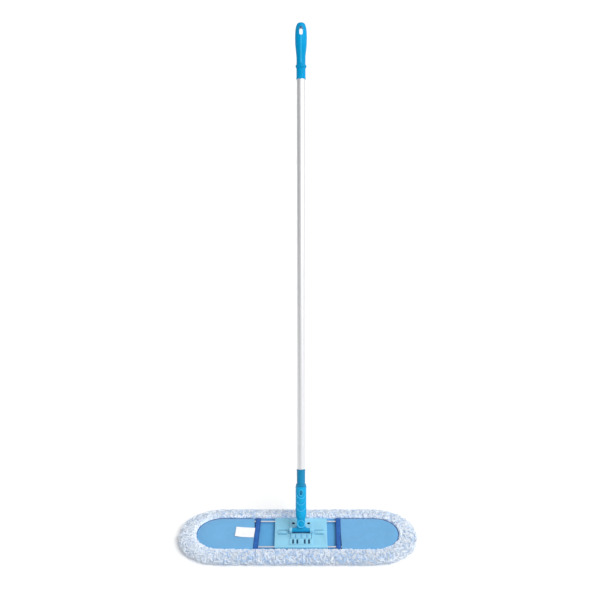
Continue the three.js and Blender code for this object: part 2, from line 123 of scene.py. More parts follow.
def mesh_piece(name, place, points, faces, material, smooth=True):
    """A piece from points in a working frame. faces is a list of arrays or lists of corners."""
    mesh = bpy.data.meshes.new(name)
    corners = np.concatenate([np.asarray(group, np.int32).ravel() for group in faces])
    totals = np.concatenate([
        np.full(len(group), np.asarray(group).shape[1], np.int32) for group in faces
    ])
    points = in_frame(place, points).astype(np.float32)
    mesh.vertices.add(len(points))
    mesh.vertices.foreach_set("co", points.ravel())
    mesh.loops.add(len(corners))
    mesh.loops.foreach_set("vertex_index", corners)
    mesh.polygons.add(len(totals))
    mesh.polygons.foreach_set("loop_start", np.concatenate([[0], np.cumsum(totals)[:-1]]))
    mesh.polygons.foreach_set("loop_total", totals)
    mesh.update(calc_edges=True)
    mesh.validate()
    mesh.polygons.foreach_set("use_smooth", np.full(len(mesh.polygons), smooth))
    return new_object(name, mesh, material)


def add_attribute(piece, name, values):
    attribute = piece.data.attributes.new(name, "FLOAT", "POINT")
    attribute.data.foreach_set("value", np.asarray(values, np.float32))


def add_modifier(piece, kind, **settings):
    modifier = piece.modifiers.new(kind.lower(), kind)
    for key, value in settings.items():
        setattr(modifier, key, value)
    return modifier


def apply_modifiers(piece):
    bpy.context.view_layer.update()
    evaluated = piece.evaluated_get(bpy.context.evaluated_depsgraph_get())
    mesh = bpy.data.meshes.new_from_object(evaluated)
    piece.modifiers.clear()
    piece.data = mesh
    return piece


def round_edges(piece, width, segments, angle=50, **settings):
    """Rounds the edges sharper than angle degrees."""
    add_modifier(
        piece, "BEVEL", width=width * MM, segments=segments, limit_method="ANGLE",
        angle_limit=math.radians(angle), use_clamp_overlap=True, **settings,
    )
    return apply_modifiers(piece)


def boolean(piece, other, operation):
    """Joins other to piece or cuts it away, and removes other."""
    add_modifier(piece, "BOOLEAN", operation=operation, object=other, solver="EXACT")
    apply_modifiers(piece)
    bpy.data.objects.remove(other)
    return piece


def smooth_shading(piece, sharp_degrees=35):
    mesh = piece.data
    mesh.polygons.foreach_set("use_smooth", np.ones(len(mesh.polygons), bool))
    mesh.set_sharp_from_angle(angle=math.radians(sharp_degrees))
    return piece


def finish_piece(piece, body, slot, *nodes):
    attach(piece, body)
    if nodes:
        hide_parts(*nodes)
    return piece


def grid_faces(rows, columns, wrap=False):
    """Quads of a grid of points stored row by row. wrap joins the last column to the first."""
    across = columns if wrap else columns - 1
    row, column = np.meshgrid(np.arange(rows - 1), np.arange(across), indexing="ij")
    here = row * columns + column
    beside = row * columns + (column + 1) % columns
    return np.stack([here, beside, beside + columns, here + columns], -1).reshape(-1, 4)


def fillet(points, radius, steps=5):
    """A polyline of [radius, height] pairs with each inner corner turned into an arc."""
    points = [Vector(point) for point in points]
    result = [points[0]]
    for before, corner, after in zip(points, points[1:], points[2:]):
        to_before, to_after = before - corner, after - corner
        reach = min(radius, to_before.length * 0.45, to_after.length * 0.45)
        start = corner + to_before.normalized() * reach
        end = corner + to_after.normalized() * reach
        for step in range(steps + 1):
            t = step / steps
            result.append(start * (1 - t) ** 2 + corner * 2 * t * (1 - t) + end * t ** 2)
    result.append(points[-1])
    return result


def outward_faces(piece, weld=0.0):
    """Turns the faces outwards, once points closer than weld metres are made one."""
    shape = bmesh.new()
    shape.from_mesh(piece.data)
    if weld:
        bmesh.ops.remove_doubles(shape, verts=shape.verts, dist=weld)
    bmesh.ops.recalc_face_normals(shape, faces=shape.faces)
    shape.to_mesh(piece.data)
    shape.free()
    return piece


def lathe(name, profile, material, segments=96, shape=None):
    """A turned piece in the handle's frame. shape may move the points of the turned surface."""
    profile = np.array([tuple(point) for point in profile])
    angles = np.linspace(0, 2 * np.pi, segments, endpoint=False)
    radius, height = profile[:, :1], profile[:, 1:]
    points = np.stack(
        [radius * np.cos(angles), radius * np.sin(angles), height + 0 * angles], -1
    ).reshape(-1, 3)
    if shape:
        points = shape(points)
    faces = [grid_faces(len(profile), segments, wrap=True)]
    return outward_faces(mesh_piece(name, HANDLE, points, faces, material), weld=1e-7)


def slab(name, outline, front, rear, material):
    """A closed outline of [x, z] pairs in the handle's frame, extruded along its Y."""
    count = len(outline)
    points = [(x, y, z) for y in (front, rear) for x, z in outline]
    ring = np.arange(count)
    sides = np.stack([ring, (ring + 1) % count, (ring + 1) % count + count, ring + count], -1)
    faces = [sides, ring[None, ::-1], ring[None] + count]
    return outward_faces(mesh_piece(name, HANDLE, points, faces, material, smooth=False))


def arc(centre, radius, start, end, steps=24):
    """Points of an arc in X and Z, in degrees."""
    angles = np.radians(np.linspace(start, end, steps))
    return [(centre[0] + radius * math.cos(a), centre[1] + radius * math.sin(a)) for a in angles]


def slot_block(name, width, length, front, rear, height):
    """A round-ended bar along the handle's Y for cutting a slot that is long in Z."""
    radius = width / 2
    straight = length / 2 - radius
    upper = arc((0, height + straight), radius, 0, 180)
    lower = arc((0, height - straight), radius, 180, 360)
    return slab(name, upper + lower, front, rear, blank)


def rounded_copy(node, name, edge):
    """A new piece with a CAD node's shape, its flat faces made whole and its edges rounded."""
    mesh = frame["nodes"][node].data.copy()
    mesh.name = name
    shape = bmesh.new()
    shape.from_mesh(mesh)
    bmesh.ops.remove_doubles(shape, verts=shape.verts, dist=2e-6)
    bmesh.ops.dissolve_limit(
        shape, angle_limit=math.radians(1), verts=shape.verts, edges=shape.edges
    )
    shape.to_mesh(mesh)
    shape.free()
    piece = new_object(name, mesh, blank)
    round_edges(piece, edge, 4, 28, harden_normals=True)
    return smooth_shading(piece, 25)


# ---- materials ----------------------------------------------------------------------------------

def linear(red, green, blue):
    """An sRGB colour, 0 to 255, as the linear values that a shader takes."""
    def channel(value):
        value = value / 255
        return value / 12.92 if value <= 0.04045 else ((value + 0.055) / 1.055) ** 2.4
    return (channel(red), channel(green), channel(blue), 1)


def scaled(colour, factor):
    return tuple(min(1, value * factor) for value in colour[:3]) + (1,)


class Surface:
    """A procedural material: a Principled shader and the nodes that feed it."""

    def __init__(self, name, colour, **values):
        self.material = bpy.data.materials.new(name)
        self.material.use_nodes = True
        self.nodes = self.material.node_tree.nodes
        self.links = self.material.node_tree.links
        self.shader = self.nodes["Principled BSDF"]
        self.colour = colour
        self.set("Base Color", colour)
        for key, value in values.items():
            self.set(key.replace("_", " "), value)
        self.place = self.nodes.new("ShaderNodeTexCoord").outputs["Object"]

    def set(self, socket, value):
        self.shader.inputs[socket].default_value = value

    def connect(self, socket, value):
        """Links a node's output to a socket, or sets the socket's own value."""
        if isinstance(value, bpy.types.NodeSocket):
            self.links.new(value, socket)
        else:
            socket.default_value = value

    def node(self, kind, inputs=(), **settings):
        node = self.nodes.new(kind)
        for key, value in settings.items():
            setattr(node, key, value)
        for key, value in dict(inputs).items():
            self.connect(node.inputs[key], value)
        return node

    def stretched(self, scale, rotation=(0, 0, 0)):
        """Object coordinates, scaled per axis."""
        inputs = {"Vector": self.place, "Scale": scale, "Rotation": rotation}
        return self.node("ShaderNodeMapping", inputs, vector_type="POINT").outputs["Vector"]

    def noise(self, scale, detail=3, vector=None, roughness=0.55):
        inputs = {
            "Vector": vector or self.place, "Scale": scale, "Detail": detail,
            "Roughness": roughness,
        }
        return self.node("ShaderNodeTexNoise", inputs).outputs["Fac"]

    def ramp(self, value, low_in, high_in, low_out=0.0, high_out=1.0):
        inputs = {
            "Value": value, "From Min": low_in, "From Max": high_in,
            "To Min": low_out, "To Max": high_out,
        }
        return self.node("ShaderNodeMapRange", inputs).outputs["Result"]

    def maths(self, operation, first, second=0.0):
        inputs = {0: first, 1: second}
        return self.node("ShaderNodeMath", inputs, operation=operation).outputs[0]

    def mix(self, factor, first, second):
        inputs = {0: factor, 6: first, 7: second}  # the factor and the two colours
        return self.node("ShaderNodeMix", inputs, data_type="RGBA").outputs[2]

    def attribute(self, name):
        return self.node("ShaderNodeAttribute", attribute_name=name).outputs["Fac"]

    def paint(self, colour):
        self.links.new(colour, self.shader.inputs["Base Color"])

    def roughen(self, value):
        self.links.new(value, self.shader.inputs["Roughness"])

    def bump(self, height, strength, distance):
        """Adds a bump over any bump that is there already."""
        inputs = {"Height": height, "Strength": strength, "Distance": distance}
        normal = self.shader.inputs["Normal"]
        if normal.is_linked:
            inputs["Normal"] = normal.links[0].from_socket
        node = self.node("ShaderNodeBump", inputs)
        self.links.new(node.outputs["Normal"], normal)


def moulded_plastic(name, colour, roughness, grain=0.25, gloss=0.3):
    surface = Surface(name, colour, Roughness=roughness, Specular_IOR_Level=gloss)
    cloud = surface.noise(14, 4)
    fine = surface.noise(1800, 2)
    shade = surface.mix(surface.ramp(cloud, 0.3, 0.7), scaled(colour, 0.9), scaled(colour, 1.08))
    surface.paint(shade)
    wear = surface.noise(220, 5, roughness=0.7)
    surface.roughen(surface.ramp(wear, 0.35, 0.75, roughness * 0.85, min(1, roughness * 1.35)))
    surface.bump(fine, grain, 0.00012)
    surface.bump(surface.noise(60, 2), 0.2, 0.0004)
    return surface.material


def drawn_aluminium():
    colour = linear(238, 239, 241)
    surface = Surface("drawn_aluminium", colour, Metallic=1.0, Roughness=0.44)
    tilt = math.atan2(ALONG.y, ALONG.z)
    streaks = surface.noise(1, 5, surface.stretched((900, 900, 4), (tilt, 0, 0)), 0.7)
    cloud = surface.noise(9, 3)
    shade = surface.mix(surface.ramp(streaks, 0.3, 0.7), scaled(colour, 0.96), scaled(colour, 1.03))
    surface.paint(surface.mix(surface.ramp(cloud, 0.4, 0.8, 0, 0.15), shade, scaled(colour, 0.94)))
    surface.roughen(surface.ramp(streaks, 0.25, 0.8, 0.4, 0.5))
    surface.bump(streaks, 0.08, 0.00005)
    return surface.material


def bright_steel():
    colour = linear(242, 245, 250)
    surface = Surface("bright_steel", colour, Metallic=1.0, Roughness=0.16)
    scratches = surface.noise(900, 4, roughness=0.75)
    spots = surface.noise(90, 5, roughness=0.7)
    surface.paint(
        surface.mix(surface.ramp(spots, 0.55, 0.8, 0, 0.4), colour, linear(206, 212, 220))
    )
    surface.roughen(surface.ramp(scratches, 0.3, 0.75, 0.1, 0.3))
    surface.bump(scratches, 0.1, 0.00005)
    return surface.material


def woven(name, colour, thread, contrast=0.22):
    """Plain weave: two crossed sets of threads, thread millimetres apart."""
    surface = Surface(name, colour, Roughness=0.92, Sheen_Weight=0.25, Sheen_Roughness=0.5)
    spacing = math.pi / (thread * MM)
    axes = surface.node("ShaderNodeSeparateXYZ", {"Vector": surface.place}).outputs
    warp = surface.maths("SINE", surface.maths("MULTIPLY", axes["X"], spacing))
    weft = surface.maths("SINE", surface.maths("MULTIPLY", axes["Y"], spacing))
    over = surface.maths("MULTIPLY", warp, weft)
    height = surface.ramp(over, -1, 1)
    slub = surface.noise(1, 4, surface.stretched((900, 60, 400)), 0.7)
    slub_across = surface.noise(1, 4, surface.stretched((60, 900, 400)), 0.7)
    fade = surface.noise(22, 5, roughness=0.62)
    threads = surface.mix(height, scaled(colour, 1 - contrast), scaled(colour, 1 + contrast))
    slubs = surface.ramp(surface.maths("MULTIPLY", slub, slub_across), 0.12, 0.42, 0, 0.4)
    threads = surface.mix(slubs, threads, scaled(colour, 1.25))
    faded = surface.ramp(fade, 0.35, 0.72, 0, 0.35)
    surface.paint(surface.mix(faded, threads, scaled(colour, 0.86)))
    surface.bump(height, 0.5, 0.00025)
    surface.bump(surface.noise(700, 3), 0.35, 0.0003)
    return surface.material


def binding_tape():
    """Dark blue twill tape, paler along its middle as painted light on its rounded top, in patches
    from noise.
    """
    edge, middle = linear(4, 60, 136), linear(32, 108, 192)
    surface = Surface("binding_tape", edge, Roughness=0.88, Sheen_Weight=0.08)
    spacing = math.pi / (0.9 * MM)
    axes = surface.node("ShaderNodeSeparateXYZ", {"Vector": surface.place}).outputs
    diagonal = surface.maths("ADD", axes["X"], axes["Y"])
    twill = surface.ramp(
        surface.maths("SINE", surface.maths("MULTIPLY", diagonal, spacing)), -1, 1
    )
    fade = surface.noise(70, 5, roughness=0.65)
    from_middle = surface.maths("ABSOLUTE", surface.attribute("across"))
    # painted light: the middle of the rounded tape is made paler, broken into patches by noise
    wear_and_painted_light = surface.maths(
        "MULTIPLY", surface.ramp(from_middle, 0.75, 0.35), surface.ramp(fade, 0.2, 0.6)
    )
    tone = surface.mix(wear_and_painted_light, edge, middle)
    surface.paint(surface.mix(surface.ramp(twill, 0, 1, 0, 0.3), tone, scaled(edge, 0.7)))
    surface.bump(twill, 0.5, 0.0002)
    surface.bump(surface.noise(500, 3), 0.3, 0.0003)
    return surface.material


def yarn_fibre(name, pale, deep, glow=0.1):
    """Cut microfibre: each bundle has its own tone, and its root is painted nearly white as painted
    light for the lit row along the fabric's edge.

    The faint glow is painted light: an emission that stands for light passing through the thin
    fibres.
    """
    surface = Surface(
        name, pale, Roughness=0.95, Sheen_Weight=1.0, Sheen_Roughness=0.5,
        Emission_Color=linear(190, 212, 250), Emission_Strength=glow,
    )
    bundle = surface.mix(surface.ramp(surface.attribute("tone"), 0.5, 1), pale, deep)
    clumps = surface.noise(150, 3, roughness=0.6)
    bundle = surface.mix(surface.ramp(clumps, 0.5, 0.8, 0, 0.5), bundle, deep)
    # painted light: each strand's root end is mixed towards near white
    root = surface.ramp(surface.attribute("along"), 0.22, 0.05, 0, 0.8)
    drift = surface.noise(30, 3)
    bundle = surface.mix(surface.ramp(drift, 0.35, 0.7, 0, 0.25), bundle, scaled(pale, 1.05))
    surface.paint(surface.mix(root, bundle, linear(250, 252, 255)))
    surface.bump(surface.noise(2500, 2), 0.3, 0.0002)
    return surface.material


def blackened_steel():
    colour = linear(34, 40, 56)
    surface = Surface("blackened_steel", colour, Metallic=0.6, Roughness=0.5)
    wear_and_painted_light = surface.noise(700, 4, roughness=0.7)
    surface.paint(surface.mix(surface.ramp(wear_and_painted_light, 0.5, 0.8, 0, 0.4), colour, linear(84, 92, 110)))
    surface.roughen(surface.ramp(wear_and_painted_light, 0.3, 0.8, 0.4, 0.6))
    return surface.material


blank = bpy.data.materials.new("blank")
grip_blue = moulded_plastic(
    "grip_plastic", linear(0, 150, 206), roughness=0.26, grain=0.1, gloss=0.08
)
# a paler copy of the grip's plastic for its front rib: painted highlight
pale_grip_highlight = moulded_plastic("pale_grip_highlight", linear(70, 196, 240), roughness=0.26, grain=0.1)
adapter_blue = moulded_plastic(
    "adapter_plastic", linear(0, 128, 174), roughness=0.24, grain=0.15, gloss=0.35
)
socket_blue = moulded_plastic(
    "socket_plastic", linear(2, 162, 214), roughness=0.28, grain=0.15, gloss=0.22
)
# a paler copy of the socket's plastic for its raised rims: painted highlight
pale_socket_highlight = moulded_plastic(
    "pale_socket_highlight", linear(72, 192, 240), roughness=0.26, grain=0.15, gloss=0.4
)
swivel_blue = moulded_plastic("swivel_plastic", linear(0, 152, 206), roughness=0.3, grain=0.15)
plate_blue = moulded_plastic("plate_plastic", linear(142, 205, 232), roughness=0.42, grain=0.3)
# a darker plate plastic for thin strips along the ridges: painted shade
plate_shadow_line = moulded_plastic(
    "plate_shadow_line", linear(40, 128, 174), roughness=0.5, grain=0.2, gloss=0.1
)
steel = bright_steel()
screw_black = blackened_steel()
aluminium = drawn_aluminium()
canvas = woven("canvas", linear(104, 168, 215), 1.0)
# a darker copy of the canvas for the backing seen beside the plate: painted shade
shaded_backing_canvas = woven("shaded_backing_canvas", linear(84, 160, 212), 1.0)
tape_thread = woven("tape_thread", linear(52, 104, 182), 0.4, contrast=0.1)
seam_thread = woven("seam_thread", linear(30, 78, 152), 0.4, contrast=0.1)
tape = binding_tape()
label_cloth = woven("label_tape", linear(248, 249, 251), 0.5, contrast=0.03)
thread_white = woven("sewing_thread", linear(216, 228, 242), 0.4, contrast=0.1)
yarn = yarn_fibre("yarn", linear(244, 250, 255), linear(160, 202, 244))
# a whiter copy of the yarn with a stronger glow for the innermost row: painted light
lit_edge_yarn = yarn_fibre("yarn_edge", linear(255, 255, 255), linear(228, 242, 255), 0.25)
mat_yarn = yarn_fibre("yarn_mat", linear(220, 238, 255), linear(178, 212, 250))


# ---- shape helpers ------------------------------------------------------------------------------

def span(node):
    """A node's low and high corners in the handle's frame, in millimetres."""
    inverse = np.array(HANDLE.inverted())
    points = np.array([vertex.co for vertex in frame["nodes"][node].data.vertices])
    points = points @ inverse[:3, :3].T + inverse[:3, 3]
    return Vector(points.min(0)), Vector(points.max(0))


def middle_height(node):
    """The height of a node's middle, along the handle."""
    lowest, highest = span(node)
    return (lowest.z + highest.z) / 2


def box_mm(node):
    """A node's low and high corners in the head's frame, in millimetres."""
    return head_mm(low(node)), head_mm(high(node))


def spline(points, steps):
    """A smooth curve through a list of points (Catmull-Rom)."""
    points = [Vector(point) for point in points]
    padded = [points[0], *points, points[-1]]
    result = []
    for a, b, c, d in zip(padded, padded[1:], padded[2:], padded[3:]):
        for step in range(steps):
            t = step / steps
            result.append(
                (b * 2 + (c - a) * t + (a * 2 - b * 5 + c * 4 - d) * t ** 2
                 + (b * 3 - a - c * 3 + d) * t ** 3) / 2
            )
    return result + [points[-1]]


def sweep(name, place, path, half_width, half_height, up, material, sides=16, taper=0, square=1.0):
    """A closed tube along a path. up is the direction of its height, and square below 1 makes
    its elliptic section more like a rounded rectangle."""
    path = [Vector(point) for point in path]
    up = Vector(up)
    last = len(path) - 1
    points = []
    for index, point in enumerate(path):
        along = (path[min(index + 1, last)] - path[max(index - 1, 0)]).normalized()
        side = along.cross(up).normalized()
        rise = side.cross(along).normalized()
        end = min(index, last - index)
        size = 1 if end >= taper else math.sin(math.pi / 2 * (end + 0.3) / (taper + 0.3))
        for step in range(sides):
            angle = 2 * math.pi * step / sides
            across, above = math.cos(angle), math.sin(angle)
            points.append(
                point + side * (half_width * size * math.copysign(abs(across) ** square, across))
                + rise * (half_height * size * math.copysign(abs(above) ** square, above))
            )
    ring = np.arange(sides)
    caps = [ring[None, ::-1], ring[None] + sides * last]
    faces = [grid_faces(len(path), sides, wrap=True), *caps]
    return outward_faces(mesh_piece(name, place, points, faces, material))


# ---- handle -------------------------------------------------------------------------------------

THROUGH = 30  # from the handle's axis to well outside every part of it

GRIP_PROFILE = [  # distance from the top, radius
    (0, 0), (0.5, 5), (2, 8.6), (5, 11.2), (10, 13.2), (18, 15), (30, 16.1), (45, 16.4),
    (59, 15.9), (71, 15), (81, 13.8), (91, 12.8), (104, 12.4), (113, 12.5),
]
GRIP_COLLAR = [(116, 12.7), (117.5, 15), (123, 15), (124.5, 12.6)]
GRIP_SKIRT = [(149, 12.6), (150.5, 12.6), (151.3, 13), (155, 13)]
HANGING_HOLE = {"from_top": 25.1, "width": 9, "length": 24}
GRIP_DIMPLE = {"from_top": 129.5, "radius": 3.4, "depth": 0.4}
GRIP_RIB = {"from": 37.5, "to": 114, "half_width": 0.9, "half_height": 0.7, "sunk": 0.1}
GRIP_SLEEVE = (126, 149)  # distances from the top


def build_grip():
    lowest, highest = span("grip")
    top, bottom = highest.z, lowest.z
    bore = span("handle_tube")[1].x + 0.3
    bore_top = span("handle_tube")[1].z + 2
    body = [(point[1], top - point[0]) for point in spline(GRIP_PROFILE, 5)]
    collar = fillet([(r, top - d) for d, r in GRIP_COLLAR], 0.9, 3)
    sleeve = [(GRIP_COLLAR[-1][1], top - d) for d in np.arange(*GRIP_SLEEVE, 0.5)]
    skirt = fillet([(r, top - d) for d, r in GRIP_SKIRT], 0.5, 3)
    profile = [*body, *collar, *sleeve, *skirt, (bore, bottom), (bore, bore_top), (0, bore_top)]
    grip = lathe("grip_body", profile, grip_blue, 144)
    press_dimple(grip, top - GRIP_DIMPLE["from_top"])
    from_top, width, length = HANGING_HOLE.values()
    hole = slot_block("hanging_hole", width, length, -THROUGH, THROUGH, top - from_top)
    boolean(grip, hole, "DIFFERENCE")
    round_edges(grip, 1.2, 5)
    smooth_shading(grip)
    repaint(grip, grip_blue)
    finish_piece(grip, "handle", "grip_plastic", "grip")


def build_grip_rib():
    """The moulding line down the front of the grip, in a paler copy of the grip's plastic: painted
    highlight.
    """
    top = span("grip")[1].z
    distances = np.linspace(GRIP_RIB["from"], GRIP_RIB["to"], 60)
    radii = np.interp(distances, *zip(*GRIP_PROFILE))
    path = [(0, GRIP_RIB["sunk"] - radius, top - d) for d, radius in zip(distances, radii)]
    rib = sweep(
        "grip_front_rib", HANDLE, path, GRIP_RIB["half_width"], GRIP_RIB["half_height"],
        (0, -1, 0), pale_grip_highlight, 12, taper=4,
    )
    finish_piece(rib, "handle", "grip_plastic")


def press_dimple(grip, height):
    """A shallow round dimple in the front of the grip's lower end."""
    inward = REARWARD * GRIP_DIMPLE["depth"] * MM
    to_handle = HANDLE.inverted()
    for vertex in grip.data.vertices:
        place = to_handle @ vertex.co
        away = math.hypot(place.x, place.z - height) / GRIP_DIMPLE["radius"]
        outside = math.hypot(place.x, place.y) > GRIP_COLLAR[-1][1] - 0.1
        if away < 1 and place.y < 0 and outside:
            vertex.co += inward * math.cos(away * math.pi / 2) ** 0.4


TUBE_WALL = 1


def build_tube():
    lowest, highest = span("handle_tube")
    radius, bore = highest.x, highest.x - TUBE_WALL
    inside = (bore, lowest.z + 5)
    profile = [
        inside, (bore, lowest.z), (radius, lowest.z), (radius, highest.z), (bore, highest.z),
        inside,
    ]
    tube = lathe("handle_tube_skin", fillet(profile, 0.3, 3), aluminium, 96)
    smooth_shading(tube)
    finish_piece(tube, "handle", "tube_aluminium", "handle_tube")


GAP = 0.3  # between the adapter, the tube's end and the socket's top
ADAPTER = {"spigot": 11.4, "plug": 10.3, "collar": 6.2, "lead_in": 2}
BUTTON_POCKET = {"width": 10.8, "length": 15.4, "rear": -1.2}


def build_adapter():
    lowest, highest = span("tube_adapter")
    flange = highest.x
    spigot, plug, collar, lead_in = ADAPTER.values()
    tube_radius = span("handle_tube")[1].x
    lip = tube_radius + 0.35
    tube_end = span("handle_tube")[0].z
    shoulder = span("handle_socket")[1].z + GAP
    above = shoulder + collar
    profile = [
        (0, lowest.z), (spigot - 2, lowest.z), (spigot, lowest.z + 3), (spigot, shoulder),
        (flange, shoulder), (flange, above), (tube_radius - 0.2, above + 1.2),
        (tube_radius, tube_end - 5), (lip, tube_end - 4.4), (lip, tube_end - GAP),
        (plug, tube_end - GAP), (plug, highest.z - lead_in), (plug - 1.5, highest.z),
        (0, highest.z),
    ]
    adapter = lathe("tube_adapter_body", fillet(profile, 0.7, 4), adapter_blue, 96)
    width, length, rear = BUTTON_POCKET.values()
    middle = middle_height("snap_button")
    pocket = slot_block("button_pocket", width, length, -THROUGH, rear, middle)
    boolean(adapter, pocket, "DIFFERENCE")
    smooth_shading(adapter)
    finish_piece(adapter, "handle", "adapter_plastic", "tube_adapter")


SOCKET = {"fork": 29.2, "foot": 11.6, "shoulder": 41, "floor": 46, "bore": 11.7}
SOCKET_TOP_RIM = {"height": 3.4, "standing": 0.5, "chamfer": 0.6}
SOCKET_EAR = {"radius": 11.5, "half_width": 11, "inner": 4.3, "outer": 9}
PIN_HOLE_RADIUS = 3.3
EAR_RIM = {"radius": 9.6, "half_width": 1.3, "half_height": 1.0}
WINDOW = {"width": 8, "length": 13}
WINDOW_RIM = {"outside": 1.0, "half_width": 0.8, "standing": -0.1}
SCALLOP_HEIGHTS = (101, 83.5, 66)  # of the lip's two ends, above the cross bar
SCALLOP = {"half_width": 12, "hang": 12.5, "depth": 2.0, "fall": 12, "lip": 1.2}
SCALLOP_RIM = {"half_width": 0.85, "half_height": 0.7, "standing": 0.1}


def scallop_lip(across, height):
    """The height of a scallop's lip at a distance round the socket from its front."""
    inside = np.clip(1 - (across / SCALLOP["half_width"]) ** 2, 0, 1)
    return height - SCALLOP["hang"] * np.sqrt(inside)


def scalloped(points):
    """Presses a stack of scale-shaped scoops, each deepest at its lip, into the socket's front."""
    x, y, z = points.T
    radius = np.hypot(x, y)
    across = np.arctan2(x, -y) * radius
    edge = np.clip(4 - 4 * (across / SCALLOP["half_width"]) ** 2, 0, 1)
    depth = np.zeros(len(points))
    for height in SCALLOP_HEIGHTS:
        above = z - scallop_lip(across, height)
        lip = np.clip(above / SCALLOP["lip"], 0, 1)
        fade = np.clip(1 - above / SCALLOP["fall"], 0, 1)
        depth = np.maximum(depth, SCALLOP["depth"] * lip * fade * edge)
    outside = (radius > 14.2) & (y < 0)
    shrink = 1 - np.where(outside, depth / np.maximum(radius, 1), 0)
    return np.stack([x * shrink, y * shrink, z], -1)


def socket_profile(radius, top):
    """The socket's section: a narrow fork's foot, a straight sleeve, a rim and the bore."""
    fork, foot, shoulder, floor, bore = SOCKET.values()
    straight_end = top - SOCKET_TOP_RIM["height"] - SOCKET_TOP_RIM["chamfer"]
    straight = [(radius, height) for height in np.arange(shoulder + 3, straight_end, 0.4)]
    lip = radius + SOCKET_TOP_RIM["standing"]
    rim = [
        (radius, straight_end), (lip, top - SOCKET_TOP_RIM["height"]), (lip, top), (bore, top),
        (bore, straight_end),
    ]
    base = [(0, fork), (foot, fork), (radius, shoulder), (radius, shoulder + 3)]
    return [*fillet(base, 2.0, 5), *straight, *fillet(rim, 0.6, 4), (bore, floor), (0, floor)]


def build_socket():
    """The sleeve and its two ears, with their raised rims."""
    _, highest = span("handle_socket")
    radius, top = highest.x, highest.z
    profile = socket_profile(radius, top)
    socket = lathe("handle_socket_body", profile, socket_blue, 160, scalloped)
    pin = (0, middle_height("pivot_pin"))
    ear_radius, half_width, inner, outer = SOCKET_EAR.values()
    joined = SOCKET["fork"] + 3
    ear = [(-half_width, joined), *arc(pin, ear_radius, 180, 360, 40), (half_width, joined)]
    for front, rear in ((-outer, -inner), (inner, outer)):
        boolean(socket, slab("ear", ear, front, rear, socket_blue), "UNION")
    hole = arc(pin, PIN_HOLE_RADIUS, 0, 360, 33)[:-1]
    boolean(socket, slab("pin_hole", hole, -THROUGH, THROUGH, blank), "DIFFERENCE")
    width, length = WINDOW.values()
    middle = middle_height("snap_button")
    window = slot_block("button_window", width, length, -THROUGH, 0, middle)
    boolean(socket, window, "DIFFERENCE")
    round_edges(socket, 0.5, 2)
    smooth_shading(socket)
    finish_piece(socket, "handle", "socket_plastic", "handle_socket")
    build_window_rim(radius)
    build_scallop_rims(radius)
    build_ear_rim(pin)


def build_socket_rim(name, path, sizes, sides, taper=0):
    """A raised rim on the front of the socket, in a paler copy of its plastic: painted highlight.
    """
    half_width, half_height = sizes
    rim = sweep(
        name, HANDLE, path, half_width, half_height, (0, -1, 0), pale_socket_highlight, sides, taper=taper
    )
    finish_piece(rim, "handle", "socket_plastic")


def build_window_rim(socket_radius):
    reach = WINDOW_RIM["standing"] + socket_radius
    middle = middle_height("snap_button")
    end = (WINDOW["length"] - WINDOW["width"]) / 2
    radius = WINDOW["width"] / 2 + WINDOW_RIM["outside"]
    upper = arc((0, middle + end), radius, 0, 180, 20)
    lower = arc((0, middle - end), radius, 180, 360, 20)
    ring = [(x, -math.sqrt(reach ** 2 - x ** 2), z) for x, z in upper + lower]
    sizes = (WINDOW_RIM["half_width"], WINDOW_RIM["half_width"])
    build_socket_rim("button_window_rim", ring + ring[:1], sizes, 10)


def build_scallop_rims(radius):
    across = SCALLOP["half_width"] * np.sin(np.linspace(-1.35, 1.35, 41))
    angle = across / radius
    reach = radius + SCALLOP_RIM["standing"]
    sizes = (SCALLOP_RIM["half_width"], SCALLOP_RIM["half_height"])
    for number, height in enumerate(SCALLOP_HEIGHTS, 1):
        lip = scallop_lip(across, height)
        line = np.stack([reach * np.sin(angle), -reach * np.cos(angle), lip], -1)
        build_socket_rim(f"socket_scallop_rim_{number}", line, sizes, 10, taper=6)


def build_ear_rim(pin):
    face = 0.1 - SOCKET_EAR["outer"]
    ring = [(x, face, z) for x, z in arc(pin, EAR_RIM["radius"], 0, 360, 49)]
    build_socket_rim("socket_ear_rim", ring, (EAR_RIM["half_width"], EAR_RIM["half_height"]), 12)


def build_rounded_parts():
    """Hard parts that keep their CAD shape, with rounded edges."""
    plan = [
        ("snap_button", "snap_button", adapter_blue, "adapter_plastic", 0.7),
        ("swivel_cross_bar", "swivel", swivel_blue, "socket_plastic", 0.8),
        ("pivot_pin", "swivel", socket_blue, "socket_plastic", 0.3),
        ("base_plate", "plate", plate_blue, "plate_plastic", 0.6),
        ("swivel_housing", "plate", plate_blue, "plate_plastic", 0.6),
        ("bearing_cheek_left", "plate", plate_blue, "plate_plastic", 0.8),
        ("bearing_cheek_right", "plate", plate_blue, "plate_plastic", 0.8),
        ("housing_screw_left", "plate", screw_black, "spring_steel", 0.2),
        ("housing_screw_right", "plate", screw_black, "spring_steel", 0.2),
        ("release_pedal", "release_pedal", plate_blue, "plate_plastic", 0.4),
        ("spring_strap", "plate", plate_blue, "plate_plastic", 0.3),
        ("lean_axle", "plate", steel, "spring_steel", 0.3),
        ("release_rod_left", "release_rod_left", steel, "spring_steel", 0.3),
        ("release_rod_right", "release_rod_right", steel, "spring_steel", 0.3),
        ("hinge_barrel_left", "left_wing", steel, "spring_steel", 0.2),
        ("hinge_barrel_right", "right_wing", steel, "spring_steel", 0.2),
    ]
    for node, body, material, slot, edge in plan:
        piece = rounded_copy(node, f"{node}_body", edge)
        repaint(piece, material)
        finish_piece(piece, body, slot, node)


PLATE_LINE = {"inner": 37, "outer": 63, "half_width": 1.1, "half_height": 0.5}
PLATE_LINE_ROWS = {"front": -6.4, "rear": 9.6}
RIDGE_RISE = 1.7  # of the ridges above the plate


